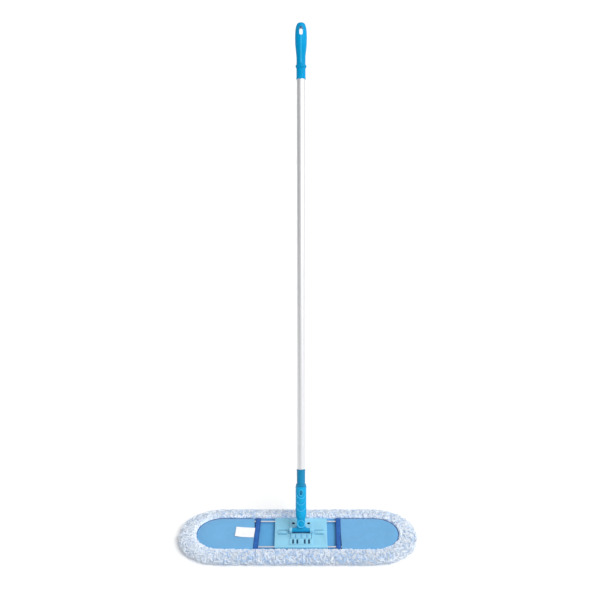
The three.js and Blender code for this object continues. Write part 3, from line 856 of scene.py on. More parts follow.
def build_plate_lines():
    """Thin dark strips of painted shade in front of and behind the plate's two ridges."""
    inner, outer, half_width, half_height = PLATE_LINE.values()
    height = box_mm("base_plate")[1].z - RIDGE_RISE
    for side, word in WORDS.items():
        for row, y in PLATE_LINE_ROWS.items():
            path = [(side * x, y, height) for x in np.linspace(inner, outer, 20)]
            line = sweep(
                f"plate_shadow_line_{word}_{row}", HEAD, path, half_width, half_height, (0, 0, 1),
                plate_shadow_line, 8, taper=2,
            )
            finish_piece(line, "plate", "plate_plastic")


SPRING_WIRE = 0.4  # half the wire's thickness
SPRING_TURNS = 5


def coil(radius, bottom, top):
    """Points of a coil round the third axis."""
    turn = np.linspace(0, 2 * np.pi * SPRING_TURNS, SPRING_TURNS * 20 + 1)
    height = np.linspace(bottom + SPRING_WIRE, top - SPRING_WIRE, len(turn))
    return np.stack([radius * np.cos(turn), radius * np.sin(turn), height], -1)


def finish_spring(spring, body, node):
    """Attaches the spring to its body, hides its CAD node and gives it a mesh of its own."""
    finish_piece(spring, body, "spring_steel", node)
    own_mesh(spring)


def build_pedal_spring(node):
    """An upright coil that stands on the strap under the pedal."""
    lowest, highest = box_mm(node)
    middle = (lowest + highest) / 2
    radius = (highest.x - lowest.x) / 2 - SPRING_WIRE
    path = coil(radius, lowest.z, highest.z) + np.array([middle.x, middle.y, 0])
    spring = sweep(f"{node}_coil", HEAD, path, SPRING_WIRE, SPRING_WIRE, (0, 0, 1), steel, 8)
    finish_spring(spring, "plate", node)


def build_button_spring(node):
    """A coil that lies across the handle behind the button."""
    lowest, highest = span(node)
    middle = (lowest + highest) / 2
    radius = (highest.x - lowest.x) / 2 - SPRING_WIRE
    path = coil(radius, lowest.y, highest.y)[:, [0, 2, 1]] + np.array([0, 0, middle.z])
    spring = sweep(f"{node}_coil", HANDLE, path, SPRING_WIRE, SPRING_WIRE, (0, 1, 0), steel, 8)
    finish_spring(spring, "handle", node)


# ---- folding frame ------------------------------------------------------------------------------

def bent_path(corners, radii, spacing=2.0):
    """Straight runs joined by round bends, as closely spaced points."""
    corners = [Vector(corner) for corner in corners]
    path = [corners[0]]
    for before, corner, after, radius in zip(corners, corners[1:], corners[2:], radii):
        start = corner + (before - corner).normalized() * radius
        end = corner + (after - corner).normalized() * radius
        centre = start + end - corner
        straight(path, start, spacing)
        steps = max(6, int(radius * 1.6 / spacing))
        for step in range(1, steps + 1):
            angle = math.pi / 2 * step / steps
            path.append(
                centre + (start - centre) * math.cos(angle) + (end - centre) * math.sin(angle)
            )
    straight(path, corners[-1], spacing)
    return path


def straight(path, end, spacing):
    start = path[-1]
    steps = max(1, int((end - start).length / spacing / 4))
    path.extend(start.lerp(end, step / steps) for step in range(1, steps + 1))


WIRE_CORNER = 46  # radius of the bends at the wire's outer end
WIRE_HOOK = {"radius": 5, "end": 36}  # the ends of the wire turn in to the hinge barrel


def build_wires():
    radii = (WIRE_HOOK["radius"], WIRE_CORNER, WIRE_CORNER, WIRE_HOOK["radius"])
    for side, word in WORDS.items():
        lowest, highest = box_mm(f"frame_wire_{word}")
        radius = (highest.z - lowest.z) / 2
        height = (highest.z + lowest.z) / 2
        depth = highest.y - radius
        outer = max(abs(highest.x), abs(lowest.x)) - radius
        hinge = abs(head_mm(joints[f"fold_{word}"]["pos_m"]).x)
        half = [(hinge, WIRE_HOOK["end"]), (hinge, depth), (outer, depth)]
        corners = [(x, -y) for x, y in half] + half[::-1]
        path = bent_path([(side * x, y, height) for x, y in corners], radii)
        wire = sweep(f"frame_wire_{word}_rod", HEAD, path, radius, radius, (0, 0, 1), steel, 20)
        finish_piece(wire, f"{word}_wing", "spring_steel", f"frame_wire_{word}")


# ---- the cover's plan ---------------------------------------------------------------------------

END_ROUNDNESS = 2.15  # exponent of the superellipse at the cover's ends
FABRIC_END = 80  # length of the fabric's round ends

BACKING_THICKNESS = 1.1
POCKET = {"edge": 0.8, "thickness": 0.8, "over_backing": 1.6, "over_wire": 1.3, "sag": 1.5}

COVER_MIDDLE = (box_mm("pile_left")[0].x + box_mm("pile_right")[1].x) / 2
FABRIC_HALF_LENGTH = box_mm("backing_right")[1].x - COVER_MIDDLE
FABRIC_HALF_DEPTH = box_mm("backing_right")[1].y
YARN_REACH = box_mm("pile_right")[1].y - FABRIC_HALF_DEPTH
YARN_END_REACH = box_mm("pile_right")[1].x - COVER_MIDDLE - FABRIC_HALF_LENGTH
BACKING_TOP = box_mm("backing_middle")[1].z
WIRE_TOP = box_mm("frame_wire_left")[1].z
WIRE_RADIUS = (WIRE_TOP - box_mm("frame_wire_left")[0].z) / 2
WIRE_HALF_DEPTH = box_mm("frame_wire_left")[1].y - WIRE_RADIUS
WIRE_HALF_LENGTH = box_mm("frame_wire_right")[1].x - WIRE_RADIUS


def half_depth_at(x, inset=0.0):
    """Half the fabric's depth at a distance x from the cover's middle."""
    end = FABRIC_END - inset
    share = np.clip((np.abs(x) - (FABRIC_HALF_LENGTH - FABRIC_END)) / end, 0, 1)
    return (FABRIC_HALF_DEPTH - inset) * (1 - share ** END_ROUNDNESS) ** (1 / END_ROUNDNESS)


def depth_inside(x, y):
    """Roughly how far a point of the cover lies inside the fabric's edge, in millimetres."""
    along = np.clip((np.abs(x) - (FABRIC_HALF_LENGTH - FABRIC_END)) / FABRIC_END, 0, 1.2)
    across = np.abs(y) / FABRIC_HALF_DEPTH
    level = (along ** END_ROUNDNESS + across ** END_ROUNDNESS) ** (1 / END_ROUNDNESS)
    return FABRIC_HALF_DEPTH * (1 - level)


def outline(inset=0.0, steps=4000):
    """Evenly spaced points of the fabric's outline, from the middle of the front, rightwards."""
    turn = np.linspace(0, 2 * np.pi, steps, endpoint=False)
    power = 2 / END_ROUNDNESS
    end = FABRIC_END - inset
    x = end * np.sign(np.sin(turn)) * np.abs(np.sin(turn)) ** power
    y = -(FABRIC_HALF_DEPTH - inset) * np.sign(np.cos(turn)) * np.abs(np.cos(turn)) ** power
    x = x + np.sign(x) * (FABRIC_HALF_LENGTH - FABRIC_END)
    ring = np.stack([x, y], -1)
    closed = np.concatenate([ring, ring[:1]])
    travel = travel_along(closed)
    return at_travel(np.linspace(0, travel[-1], steps, endpoint=False), travel, closed)


def outline_frames(shares):
    """Points and outward normals of the outline at shares of its way round."""
    ring = outline()
    steps = len(ring)
    ahead = unit(np.roll(ring, -20, 0) - np.roll(ring, 20, 0))
    index = (np.asarray(shares) * steps).astype(int) % steps
    normal = np.stack([ahead[:, 1], -ahead[:, 0]], -1)
    return ring[index], normal[index]


def unit(vectors):
    return vectors / np.linalg.norm(vectors, axis=-1, keepdims=True)


def travel_along(points):
    """The distance from the first of a row of points to each of them."""
    steps = np.linalg.norm(np.diff(points, axis=0), axis=1)
    return np.concatenate([[0], np.cumsum(steps)])


def at_travel(places, travel, points):
    """Points at distances along a row of points."""
    return np.stack([np.interp(places, travel, column) for column in np.transpose(points)], -1)


def smoothstep(value, start, end):
    t = np.clip((value - start) / (end - start), 0, 1)
    return t * t * (3 - 2 * t)


def ripple(x, y, size, seed):
    """Smooth noise from -1 to 1 with waves about size millimetres long."""
    values = [
        noise.noise(Vector((a / size, b / size, seed))) for a, b in zip(np.ravel(x), np.ravel(y))
    ]
    return np.reshape(values, np.shape(x)) * 1.6


def beyond_wire(x, y):
    """Distance of a point of the cover outside the frame wire's loop, negative inside it."""
    across_x = np.abs(x + COVER_MIDDLE) - (WIRE_HALF_LENGTH - WIRE_CORNER)
    across_y = np.abs(y) - (WIRE_HALF_DEPTH - WIRE_CORNER)
    corner = np.hypot(np.maximum(across_x, 0), np.maximum(across_y, 0))
    return corner + np.minimum(np.maximum(across_x, across_y), 0) - WIRE_CORNER


def pocket_height(x, y):
    """Height of the top of a pocket, stretched over the wire frame inside it."""
    edge = BACKING_TOP + POCKET["over_backing"]
    over_wire = WIRE_TOP + POCKET["over_wire"]
    inside = np.maximum(depth_inside(x, y), 0)
    beyond = beyond_wire(x, y)
    share = inside / (inside + np.maximum(beyond, 0) + 0.01)
    slope = edge + (over_wire - edge) * np.sin(np.pi / 2 * share)
    sag = POCKET["sag"] * smoothstep(-beyond, 3, 32)
    return slope - sag


def in_head(x, y, z):
    """Points of the cover in the head's frame."""
    x, y, z = np.broadcast_arrays(x, y, z)
    return np.stack([x + COVER_MIDDLE, y, z], -1).reshape(-1, 3)


def blended(piece, side, slot, *nodes):
    """Fabric and yarn, baked into the row's frame, with the CAD nodes they stand for hidden."""
    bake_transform(piece)
    if nodes:
        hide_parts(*nodes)
    return piece


def cloth(name, x, y, z, thickness, material):
    """A sheet with a real thickness, from a grid of points of its upper face."""
    rows, columns = x.shape
    sheet = mesh_piece(name, HEAD, in_head(x, y, z), [grid_faces(rows, columns)], material)
    outward_faces(sheet, weld=1e-6)
    if sum(face.normal.z for face in sheet.data.polygons) < 0:
        sheet.data.flip_normals()
    add_modifier(sheet, "SOLIDIFY", thickness=thickness * MM, offset=-1, use_even_offset=False)
    return smooth_shading(apply_modifiers(sheet), 60)


# ---- fabric -------------------------------------------------------------------------------------

POCKET_MOUTH = COVER_MIDDLE - box_mm("pocket_left")[1].x
MOUTH_SKEW = {-1: 0.04, 1: 0.017}  # how far each mouth leans as it goes rearwards


def to_tip(count):
    """Shares from 0 to 1, closer together near 1, as a column."""
    return np.sin(np.linspace(0, math.pi / 2, count))[:, None]


def half_cover(side, inset=0):
    """The x and y of a grid over one half of the fabric."""
    along = (FABRIC_HALF_LENGTH - inset) * to_tip(110)
    across = np.linspace(-1, 1, 64)[None]
    return side * along + 0 * across, across * half_depth_at(along, inset)


def build_backing(side):
    x, y = half_cover(side)
    z = BACKING_TOP + 0.35 * ripple(x, y, 26, 3) * smoothstep(depth_inside(x, y), 0, 12)
    word = WORDS[side]
    # the backing is drawn in a darker copy of the canvas: painted shade
    sheet = cloth(f"backing_cloth_{word}", x, y, z, BACKING_THICKNESS, shaded_backing_canvas)
    blended(sheet, side, "canvas", f"backing_{word}", "backing_middle")


def build_pocket(side):
    word = WORDS[side]
    share = to_tip(130)
    across = np.linspace(-1, 1, 100)[None]
    edge = POCKET["edge"]
    tip = FABRIC_HALF_LENGTH - edge
    y = across * half_depth_at(POCKET_MOUTH + (tip - POCKET_MOUTH) * share, edge)
    mouth = POCKET_MOUTH - side * MOUTH_SKEW[side] * y
    x = side * (mouth + (tip - mouth) * share)
    inside = depth_inside(x, y)
    wrinkle = 0.6 * ripple(x, y * 1.4, 30, 5) + 0.25 * ripple(x + y, y, 9, 8)
    pucker = 0.35 * np.sin(2 * np.pi * (x + 0.6 * y) / 8.5) * ripple(x, y, 40, 2)
    off_wire = 1 - 0.85 * np.exp(-(beyond_wire(x, y) / 7) ** 2)
    z = pocket_height(x, y) + wrinkle * off_wire * smoothstep(inside, 2, 20)
    z = z + pucker * off_wire * smoothstep(inside, 1, 3) * (1 - smoothstep(inside, 7, 18))
    z = np.maximum(z, BACKING_TOP + 0.9)
    sheet = cloth(f"pocket_cloth_{word}", x, y, z, POCKET["thickness"], canvas)
    finish_piece(sheet, f"{word}_wing", "canvas", f"pocket_{word}")


BINDING_HALF_HEIGHT = 1.35
BINDING_STITCH_ROWS = {"inner": -0.36, "outer": 0.36}  # places across the tape, as shares of it


def build_binding(side):
    word = WORDS[side]
    tape_low, tape_high = box_mm(f"binding_{word}")
    half_width = (tape_high.x - tape_low.x) / 2
    reach = tape_high.y
    y = np.linspace(-reach, reach, 120)
    centre = (tape_low.x + tape_high.x) / 2 - COVER_MIDDLE
    x = centre + MOUTH_SKEW[side] * y
    z = pocket_height(side * (POCKET_MOUTH + 2), y) + 0.25
    path = in_head(x, y, z)
    sides = 28
    strip = sweep(
        f"binding_strip_{word}", HEAD, path, half_width, BINDING_HALF_HEIGHT, (0, 0, 1), tape,
        sides, taper=3, square=0.45,
    )
    angles = 2 * np.pi * np.arange(sides) / sides
    add_attribute(strip, "across", np.tile(np.cos(angles), len(path)))
    finish_piece(strip, f"{word}_wing", "binding_tape", f"binding_{word}")
    for row, offset in BINDING_STITCH_ROWS.items():
        line = in_head(x + offset * 2 * half_width, y, z + 1.25)[4:-4]
        seam = stitches(
            f"binding_stitch_{word}_{row}", line, tape_thread, length=2.6, gap=0.9, radius=0.32
        )
        finish_piece(seam, f"{word}_wing", "binding_tape")


LABEL = {"lean": -4, "lift": 1.2, "over_pocket": 1.2, "thickness": 0.35}
LABEL_SEAMS = {"near": 0.46, "far": -0.46}  # places along the label, as shares of it


def build_label():
    """The label, sewn down at both ends, with its free left side lifted a little."""
    tape_low, tape_high = box_mm("pocket_label")
    width, depth = tape_high.x - tape_low.x, tape_high.y - tape_low.y
    middle = (tape_low + tape_high) / 2
    lean = math.radians(LABEL["lean"])
    u = np.linspace(-0.5, 0.5, 53)[:, None] * width
    v = np.linspace(-0.5, 0.5, 44)[None] * depth
    x = middle.x + u * math.cos(lean) - v * math.sin(lean) - COVER_MIDDLE
    y = middle.y + u * math.sin(lean) + v * math.cos(lean)
    forwards = smoothstep(-v, -depth / 2, depth / 2)
    lift = LABEL["lift"] * smoothstep(-u, width * 0.1, width * 0.5) * (0.4 + forwards)
    z = pocket_height(x, y) + LABEL["over_pocket"] + lift + 0.2 * ripple(x, y, 18, 11)
    sheet = cloth("label_cloth", x, y, z, LABEL["thickness"], label_cloth)
    finish_piece(sheet, "left_wing", "label_tape", "pocket_label")
    for row, share in LABEL_SEAMS.items():
        column = int(round((share + 0.5) * (len(u) - 1)))
        line = in_head(x[column], y[column], z[column] + 0.1)[2:-2]
        seam = stitches(
            f"label_stitch_{row}", line, thread_white, length=2.2, gap=0.9, radius=0.22
        )
        finish_piece(seam, "left_wing", "label_tape")


def stitches(name, line, material, length, gap, radius):
    """A row of stitches along a line of points, each stitch's ends pulled into the cloth."""
    dip = 0.55
    travel = travel_along(line)
    starts = np.arange(0, travel[-1] - length, length + gap)
    rings = np.linspace(0, 1, 7)
    centres = at_travel(starts[:, None] + length * rings[None], travel, line)
    centres[..., 2] += dip * (np.sin(np.pi * rings) ** 0.6 - 1)[None]
    thickness = np.tile(radius * (0.75 + 0.25 * np.sin(np.pi * rings)), (len(starts), 1))
    ahead = centres[:, -1] - centres[:, 0]
    across = np.cross(ahead, (0, 0, 1))
    return fibres(name, centres, thickness, across, material, sides=6)


OVERLOCK = {"pitch": 1.5, "depth": 4.8, "outside": 0.4, "slant": 1.3}


def build_pocket_seam(side):
    """The overlocked edge and the seam that join a pocket to the backing."""
    word = WORDS[side]
    ring = outline(1.2)
    keep = side * ring[:, 0] > POCKET_MOUTH + 4
    x, y = ring[keep][::2].T
    inward = 3.2
    seam_x, seam_y = x * (1 - inward / FABRIC_HALF_LENGTH), y * (1 - inward / FABRIC_HALF_DEPTH)
    sewn = in_head(seam_x, seam_y, pocket_height(seam_x, seam_y) + 0.25)
    seam = stitches(
        f"pocket_stitch_{word}", sewn, seam_thread, length=2.8, gap=1.0, radius=0.3
    )
    finish_piece(seam, f"{word}_wing", "canvas")
    overlock = overlock_edge(f"pocket_overlock_{word}", x, y)
    finish_piece(overlock, f"{word}_wing", "canvas")


def overlock_edge(name, x, y):
    """Slanted loops of thread over the cut edge of the fabric."""
    pitch, depth, outside, slant = OVERLOCK.values()
    points = np.stack([x, y], -1)
    travel = travel_along(points)
    places = np.arange(2, travel[-1] - 2, pitch)
    here = at_travel(places, travel, points)
    ahead = unit(at_travel(places + 1, travel, points) - here)
    inward = np.stack([-ahead[:, 1], ahead[:, 0]], -1)
    inward *= -np.sign(np.sum(inward * here, axis=1, keepdims=True))
    share = np.linspace(0, 1, 7)[None]
    rings = share[..., None]
    reach = inward[:, None] * (depth * rings - outside)
    path = here[:, None] + reach + ahead[:, None] * (slant * rings)
    drop = 1.6 * (1 - smoothstep(share, 0, 0.3)) + 0.35 * smoothstep(share, 0.8, 1)
    height = pocket_height(path[..., 0], path[..., 1]) + 0.45 - drop
    centres = np.stack([path[..., 0] + COVER_MIDDLE, path[..., 1], height], -1)
    thickness = np.full(centres.shape[:2], 0.55)
    along = np.concatenate([ahead, np.zeros((len(ahead), 1))], -1)
    return fibres(name, centres, thickness, along, seam_thread, sides=5)


# ---- yarn ---------------------------------------------------------------------------------------

def section_axes(paths, across):
    """The two axes of the cross-section at every point of many paths."""
    along = unit(np.gradient(paths, axis=1))
    side = unit(np.cross(along, across[:, None]))
    return side, np.cross(side, along)


def fibres(name, centres, thickness, across, material, sides=3, tone=None, rooted=True):
    """Many thin closed tubes in the head's frame, one for each row of centres.

    across is one direction for each tube that its path doesn't run along. tone is one value for
    each tube, kept with the tube's own length as attributes for the material.
    """
    count, rings, _ = centres.shape
    side, rise = section_axes(centres, across)
    angles = 2 * np.pi * np.arange(sides) / sides
    spread = side[:, :, None] * np.cos(angles)[:, None] + rise[:, :, None] * np.sin(angles)[:, None]
    points = centres[:, :, None] + spread * thickness[:, :, None, None]
    per_tube = grid_faces(rings, sides, wrap=True)[:, ::-1]
    starts = (np.arange(count) * rings * sides)[:, None, None]
    walls = (per_tube[None] + starts).reshape(-1, 4)
    ring = np.arange(sides)
    first = (ring[None] + starts[:, 0]).reshape(-1, sides)
    last = (ring[None, ::-1] + starts[:, 0] + (rings - 1) * sides).reshape(-1, sides)
    piece = mesh_piece(name, HEAD, points.reshape(-1, 3), [walls, first, last], material)
    if tone is not None:
        add_attribute(piece, "tone", np.repeat(tone, rings * sides))
        position = np.repeat(np.linspace(0, 1, rings) if rooted else np.full(rings, 0.5), sides)
        add_attribute(piece, "along", np.tile(position, count))
    return piece


def from_middle(points):
    """How far points of the head's frame lie to the right of the cover's middle."""
    return points[:, 0] - COVER_MIDDLE


def yarn_tones(random, points):
    """Each strand's tone, from 0 for pale to 1 for deep, mostly random: deeper along the front as
    painted shade, and paler at the ends, most at the left end, as painted light."""
    x = from_middle(points)
    end = smoothstep(np.abs(x), 190, 270)
    # painted shade: strands along the front are made deeper
    front = smoothstep(-points[:, 1], 60, 90) * (1 - end)
    # painted light: strands at the ends are made paler, most at the left end
    painted_light_at_ends = np.where(x < 0, 0.3, 0.08) * end
    return np.clip(random.uniform(0, 1, len(points)) + 0.2 * front - painted_light_at_ends, 0, 1)


def bezier(corners, steps):
    """Points of many cubic curves at once, as curves x steps x 3."""
    t = np.linspace(0, 1, steps)[None, :, None]
    a, b, c, d = (corner[:, None] for corner in corners)
    return a * (1 - t) ** 3 + 3 * b * t * (1 - t) ** 2 + 3 * c * t * t * (1 - t) + d * t ** 3


def strands(paths, across, random, per_strand, width, flare, turns, fibre_radius, lowest=0.0):
    """Splits each path into twisted fibres whose cut ends spread, none of them below lowest."""
    count, rings, _ = paths.shape
    t = np.linspace(0, 1, rings)[None, None]
    phase = random.uniform(0, 2 * np.pi, (count, 1, 1))
    phase = phase + 2 * np.pi * np.arange(per_strand)[None, :, None] / per_strand
    spin = phase + 2 * np.pi * turns * (1 - 0.35 * t) * t
    spread = width * (0.75 + 0.25 * t + flare * t ** 4)
    spread = spread * random.uniform(0.6, 1.25, (count, per_strand, 1))
    side, rise = section_axes(paths, across)
    offset = (
        side[:, None] * (np.cos(spin) * spread)[..., None]
        + rise[:, None] * (np.sin(spin) * spread)[..., None]
    )
    length = random.uniform(0.86, 1.0, (count, per_strand, 1, 1))
    shape = paths[:, None] + offset
    start = shape[:, :, :1]
    late = t[..., None] ** 0.2
    shape = start + (shape - start) * (length * late + 1 - late)
    centres = shape.reshape(count * per_strand, rings, 3)
    centres[..., 2] = np.maximum(centres[..., 2], lowest)
    thickness = fibre_radius * (1 - 0.45 * t[0] ** 3) * np.ones((count * per_strand, 1))
    return centres, thickness, np.repeat(across, per_strand, 0)


def reach_of_yarn(normal):
    """How far the yarn reaches beyond the fabric's edge: further at the cover's ends."""
    return YARN_REACH + (YARN_END_REACH - YARN_REACH) * np.abs(normal[:, 0]) ** 1.5


def along_edge(normal):
    """The direction along the fabric's edge, level."""
    return np.stack([-normal[:, 1], normal[:, 0], 0 * normal[:, 0]], -1)


def off_edge(point, normal, out, aside, height):
    """Points at distances out from and along the fabric's edge."""
    place = point + normal * out[:, None] + along_edge(normal)[:, :2] * aside[:, None]
    return in_head(place[:, 0], place[:, 1], height)


def yarn_halves(name, lay, tone, x, material=yarn, nodes=(), rooted=True):
    """The left and right halves of a lay of yarn.

    tone and x are of the strands: x is where each starts, from the cover's middle. The lay may
    split each strand into several tubes.
    """
    centres, thickness, across = lay
    per_strand = len(centres) // len(x)
    tone, x = tone.repeat(per_strand), x.repeat(per_strand)
    for side, word in WORDS.items():
        keep = side * x >= 0
        piece = fibres(
            f"yarn_{name}_{word}", centres[keep], thickness[keep], across[keep], material,
            tone=tone[keep], rooted=rooted,
        )
        blended(piece, side, "yarn", *(node.format(word) for node in nodes))


def lay_of_yarn(random, count, crest, reach, root, tip_height, drift):
    """Curves of yarn that start at the fabric's edge, stand up and fall outwards to the floor."""
    share = (np.arange(count) + random.uniform(-0.45, 0.45, count)) / count % 1
    edge = outline_frames(share)
    full = reach_of_yarn(edge[1]) * reach * random.uniform(0.86, 1.04, count)
    sway = random.normal(0, drift, (count, 3)) * np.array([0.2, 0.6, 1.0])
    lift = crest * random.uniform(0.88, 1.1, count)
    start = root + random.uniform(-1.6, 1.6, count)
    tip = tip_height * random.uniform(0.3, 1.6, count) + 1.2
    corners = (
        off_edge(*edge, start, 0 * start, BACKING_TOP - 0.6),
        off_edge(*edge, start + full * 0.1, sway[:, 0], lift * 1.22),
        off_edge(*edge, start + full * 0.72, sway[:, 1], lift * 1.05),
        off_edge(*edge, np.maximum(full, start + 6), sway[:, 2], tip),
    )
    return corners, along_edge(edge[1])


YARN_LAYS = [  # name, crest height, share of full reach, root outside the edge, tip height
    ("under", 17, 1.0, 6.0, 1.5),
    ("lower", 23, 1.02, 3.0, 5.0),
    ("upper", 26.5, 0.98, 0.0, 11.0),
]
FRINGE_NODES = ("fringe_{}", "fringe_front_middle", "fringe_rear_middle")
PILE_NODES = ("pile_{}", "pile_middle")

# the surface of the yarn's outer rows: distance out from the fabric's edge, height
YARN_PROFILE = [
    (-1.5, 18), (-3, 22), (-1, 24.8), (5, 26.4), (12, 26.6), (20, 25.2), (27, 22), (32.5, 17),
    (34, 12), (32, 6.5), (26.5, 2.2),
]


def build_fringe():
    """Three lays of long yarn, the lowest first."""
    random = np.random.default_rng(7)
    count, rings = 400, 9
    for name, crest, reach, root, tip in YARN_LAYS:
        corners, across = lay_of_yarn(random, count, crest, reach, root, tip, drift=7.5)
        paths = bezier(corners, rings)
        wiggle = random.normal(0, 0.8, paths.shape) * np.linspace(0, 1, rings)[None, :, None]
        lay = strands(
            paths + wiggle, across, random, per_strand=6, width=1.25, flare=1.5, turns=1.6,
            fibre_radius=0.66, lowest=0.7,
        )
        tone = yarn_tones(random, corners[0])
        yarn_halves(name, lay, tone, from_middle(corners[0]), nodes=FRINGE_NODES)


def on_yarn_surface(share, level, lift):
    """Points on the yarn's outer surface.

    share is the way round the cover, level runs from the inner row at 0 to the floor at 1, and
    lift is millimetres off the surface.
    """
    edge = outline_frames(share)
    travel = travel_along(YARN_PROFILE)
    out, height = at_travel(level * travel[-1], travel, YARN_PROFILE).T
    middle_out, middle_height = 14, 8
    away = unit(np.stack([out - middle_out, (height - middle_height) * 1.4], -1))
    out = np.where(out > 0, out * reach_of_yarn(edge[1]) / YARN_REACH, out) + lift * away[:, 0]
    height = np.maximum(height + lift * away[:, 1], 0.6)
    return off_edge(*edge, out, 0 * out, height)


ROUND_COVER = 1220  # millimetres round the fabric's edge
OVER_YARN = 62  # millimetres over the yarn, from its inner row to the floor


def build_tufts(name, seed, count, length, spread):
    """Short tufts that lie over the yarn every which way, mostly outwards."""
    random = np.random.default_rng(seed)
    share = random.uniform(0, 1, count)
    level = random.uniform(0, 1, count)
    heading = random.normal(0, math.radians(spread), count)
    size = length * random.uniform(0.7, 1.25, count)
    round_cover, down = size / ROUND_COVER, size / OVER_YARN
    paths = []
    for step in np.linspace(0, 1, 7):
        arch = 2.4 * np.sin(np.pi * min(1, step * 0.9 + 0.1)) - 0.4
        paths.append(on_yarn_surface(
            (share + round_cover * step * np.sin(heading)) % 1,
            np.clip(level + down * step * np.cos(heading), 0, 1),
            arch * random.uniform(0.5, 1.3, count),
        ))
    paths = np.stack(paths, 1)
    across = np.tile((0.31, 0.17, 0.93), (count, 1))
    lay = strands(
        paths, across, random, per_strand=4, width=1.15, flare=1.4, turns=1.0,
        fibre_radius=0.62, lowest=0.6,
    )
    tone = yarn_tones(random, paths[:, 0])
    yarn_halves(name, lay, tone, from_middle(paths[:, 0]), rooted=False)


def build_yarn_edge():
    """The innermost row: short tufts that stand along the edge of the fabric, in a whiter and more
    glowing copy of the yarn as painted light.
    """
    random = np.random.default_rng(43)
    count = 760
    share = (np.arange(count) + random.uniform(-0.4, 0.4, count)) / count % 1
    edge = outline_frames(share)
    sway = random.normal(0, 2.6, count)
    root = random.uniform(-0.5, 1.2, count)
    tall = random.uniform(0.85, 1.1, count)
    tip = root + random.uniform(1, 9, count)
    corners = (
        off_edge(*edge, root, 0 * sway, 15.4),
        off_edge(*edge, root - 2.0, sway * 0.3, 21 * tall),
        off_edge(*edge, root - 2.5, sway * 0.8, 27 * tall),
        off_edge(*edge, tip, sway * 1.4, 25.5 * tall),
    )
    lay = strands(
        bezier(corners, 7), along_edge(edge[1]), random, per_strand=6, width=1.1, flare=1.2,
        turns=1.0, fibre_radius=0.6,
    )
    tone = random.uniform(0, 0.55, count)
    yarn_halves("edge", lay, tone, from_middle(corners[0]), lit_edge_yarn)


def build_fuzz():
    """Single fibres that stand out of the yarn."""
    random = np.random.default_rng(19)
    count, rings = 3000, 6
    corners, across = lay_of_yarn(
        random, count, crest=27, reach=1.03, root=1.0, tip_height=9, drift=9
    )
    paths = bezier(corners, rings) + random.normal(0, 0.9, (count, rings, 3))
    paths[..., 2] = np.maximum(paths[..., 2], 0.6)
    lay = (paths, np.full((count, rings), 0.24), across)
    tone = random.uniform(0, 0.5, count)
    yarn_halves("fuzz", lay, tone, from_middle(corners[0]), rooted=False)


# the section of the yarn's foot: distance out from the fabric's edge, height
FOOT_SECTION = [
    (0, 12.5), (-2, 16), (-2.5, 20), (1, 22.5), (10, 23.2), (19, 21.5), (26, 17), (29.5, 11),
    (28, 6), (22, 3.8), (-3, 3.8),
]


def build_underlay(side):
    """The dense foot of the yarn: what lies under and behind the separate strands."""
    shares = np.linspace(0, 0.5, 420) if side > 0 else np.linspace(0.5, 1, 420)
    point, normal = outline_frames(np.clip(shares, 0, 0.9999))
    smooth = np.array(spline([(out, height, 0) for out, height in FOOT_SECTION], 4))
    out = smooth[:, 0][None] * (reach_of_yarn(normal) / YARN_REACH)[:, None]
    height = smooth[:, 1][None] + 0 * out
    x = point[:, :1] + normal[:, :1] * out
    y = point[:, 1:] + normal[:, 1:] * out
    bump = 1.1 * ripple(x + 3 * height, y + 2 * height, 5, 4)
    x, y = x + normal[:, :1] * bump, y + normal[:, 1:] * bump
    height = np.maximum(height + 0.8 * ripple(x, y, 6, 9), 1.0)
    rows, ring = x.shape
    points = in_head(x, y, height)
    corner = np.arange(ring)
    caps = [corner[None, ::-1], corner[None] + ring * (rows - 1)]
    faces = [grid_faces(rows, ring, wrap=True), *caps]
    foot = outward_faces(mesh_piece(f"yarn_foot_{WORDS[side]}", HEAD, points, faces, mat_yarn))
    finish_dense_yarn(foot, side)


def finish_dense_yarn(piece, side):
    """Gives a dense piece of yarn one even tone."""
    count = len(piece.data.vertices)
    add_attribute(piece, "tone", np.full(count, 0.6))
    add_attribute(piece, "along", np.full(count, 0.5))
    blended(piece, side, "yarn", *(node.format(WORDS[side]) for node in PILE_NODES))


UNDERSIDE_PITCH = 8.5  # between tufts of the underside
OUTER_TUFTS = {"count": 900, "from": -3, "to": 21, "root": 4.6}
MAT = {"bottom": 6.5, "top": 12.5, "lumps": 1.2}


def build_mat(side):
    """The dense roots of the yarn under the backing."""
    x, y = half_cover(side, inset=1)
    lumps = ripple(x, y, 5, 6) * smoothstep(depth_inside(x, y), 0, 6)
    z = MAT["top"] + MAT["lumps"] * lumps - MAT["lumps"]
    mat = cloth(f"yarn_roots_{WORDS[side]}", x, y, z, MAT["top"] - MAT["bottom"], mat_yarn)
    finish_dense_yarn(mat, side)


def underside_roots(random):
    """Where the tufts of the underside start: under the fabric, then under its outer rows."""
    rows = np.arange(-FABRIC_HALF_DEPTH, FABRIC_HALF_DEPTH, UNDERSIDE_PITCH)
    places = np.arange(-FABRIC_HALF_LENGTH, FABRIC_HALF_LENGTH, UNDERSIDE_PITCH)
    x, y = (grid.ravel() for grid in np.meshgrid(places, rows, indexing="ij"))
    x = x + random.uniform(-3, 3, len(x))
    y = y + random.uniform(-3, 3, len(y))
    keep = depth_inside(x, y) > 1
    inner = np.stack([x, y, np.full(len(x), MAT["bottom"] + 2)], -1)[keep]
    count = OUTER_TUFTS["count"]
    point, normal = outline_frames(random.uniform(0, 1, count))
    place = point + normal * random.uniform(OUTER_TUFTS["from"], OUTER_TUFTS["to"], (count, 1))
    outer = np.concatenate([place, np.full((count, 1), OUTER_TUFTS["root"])], -1)
    return np.concatenate([inner, outer])


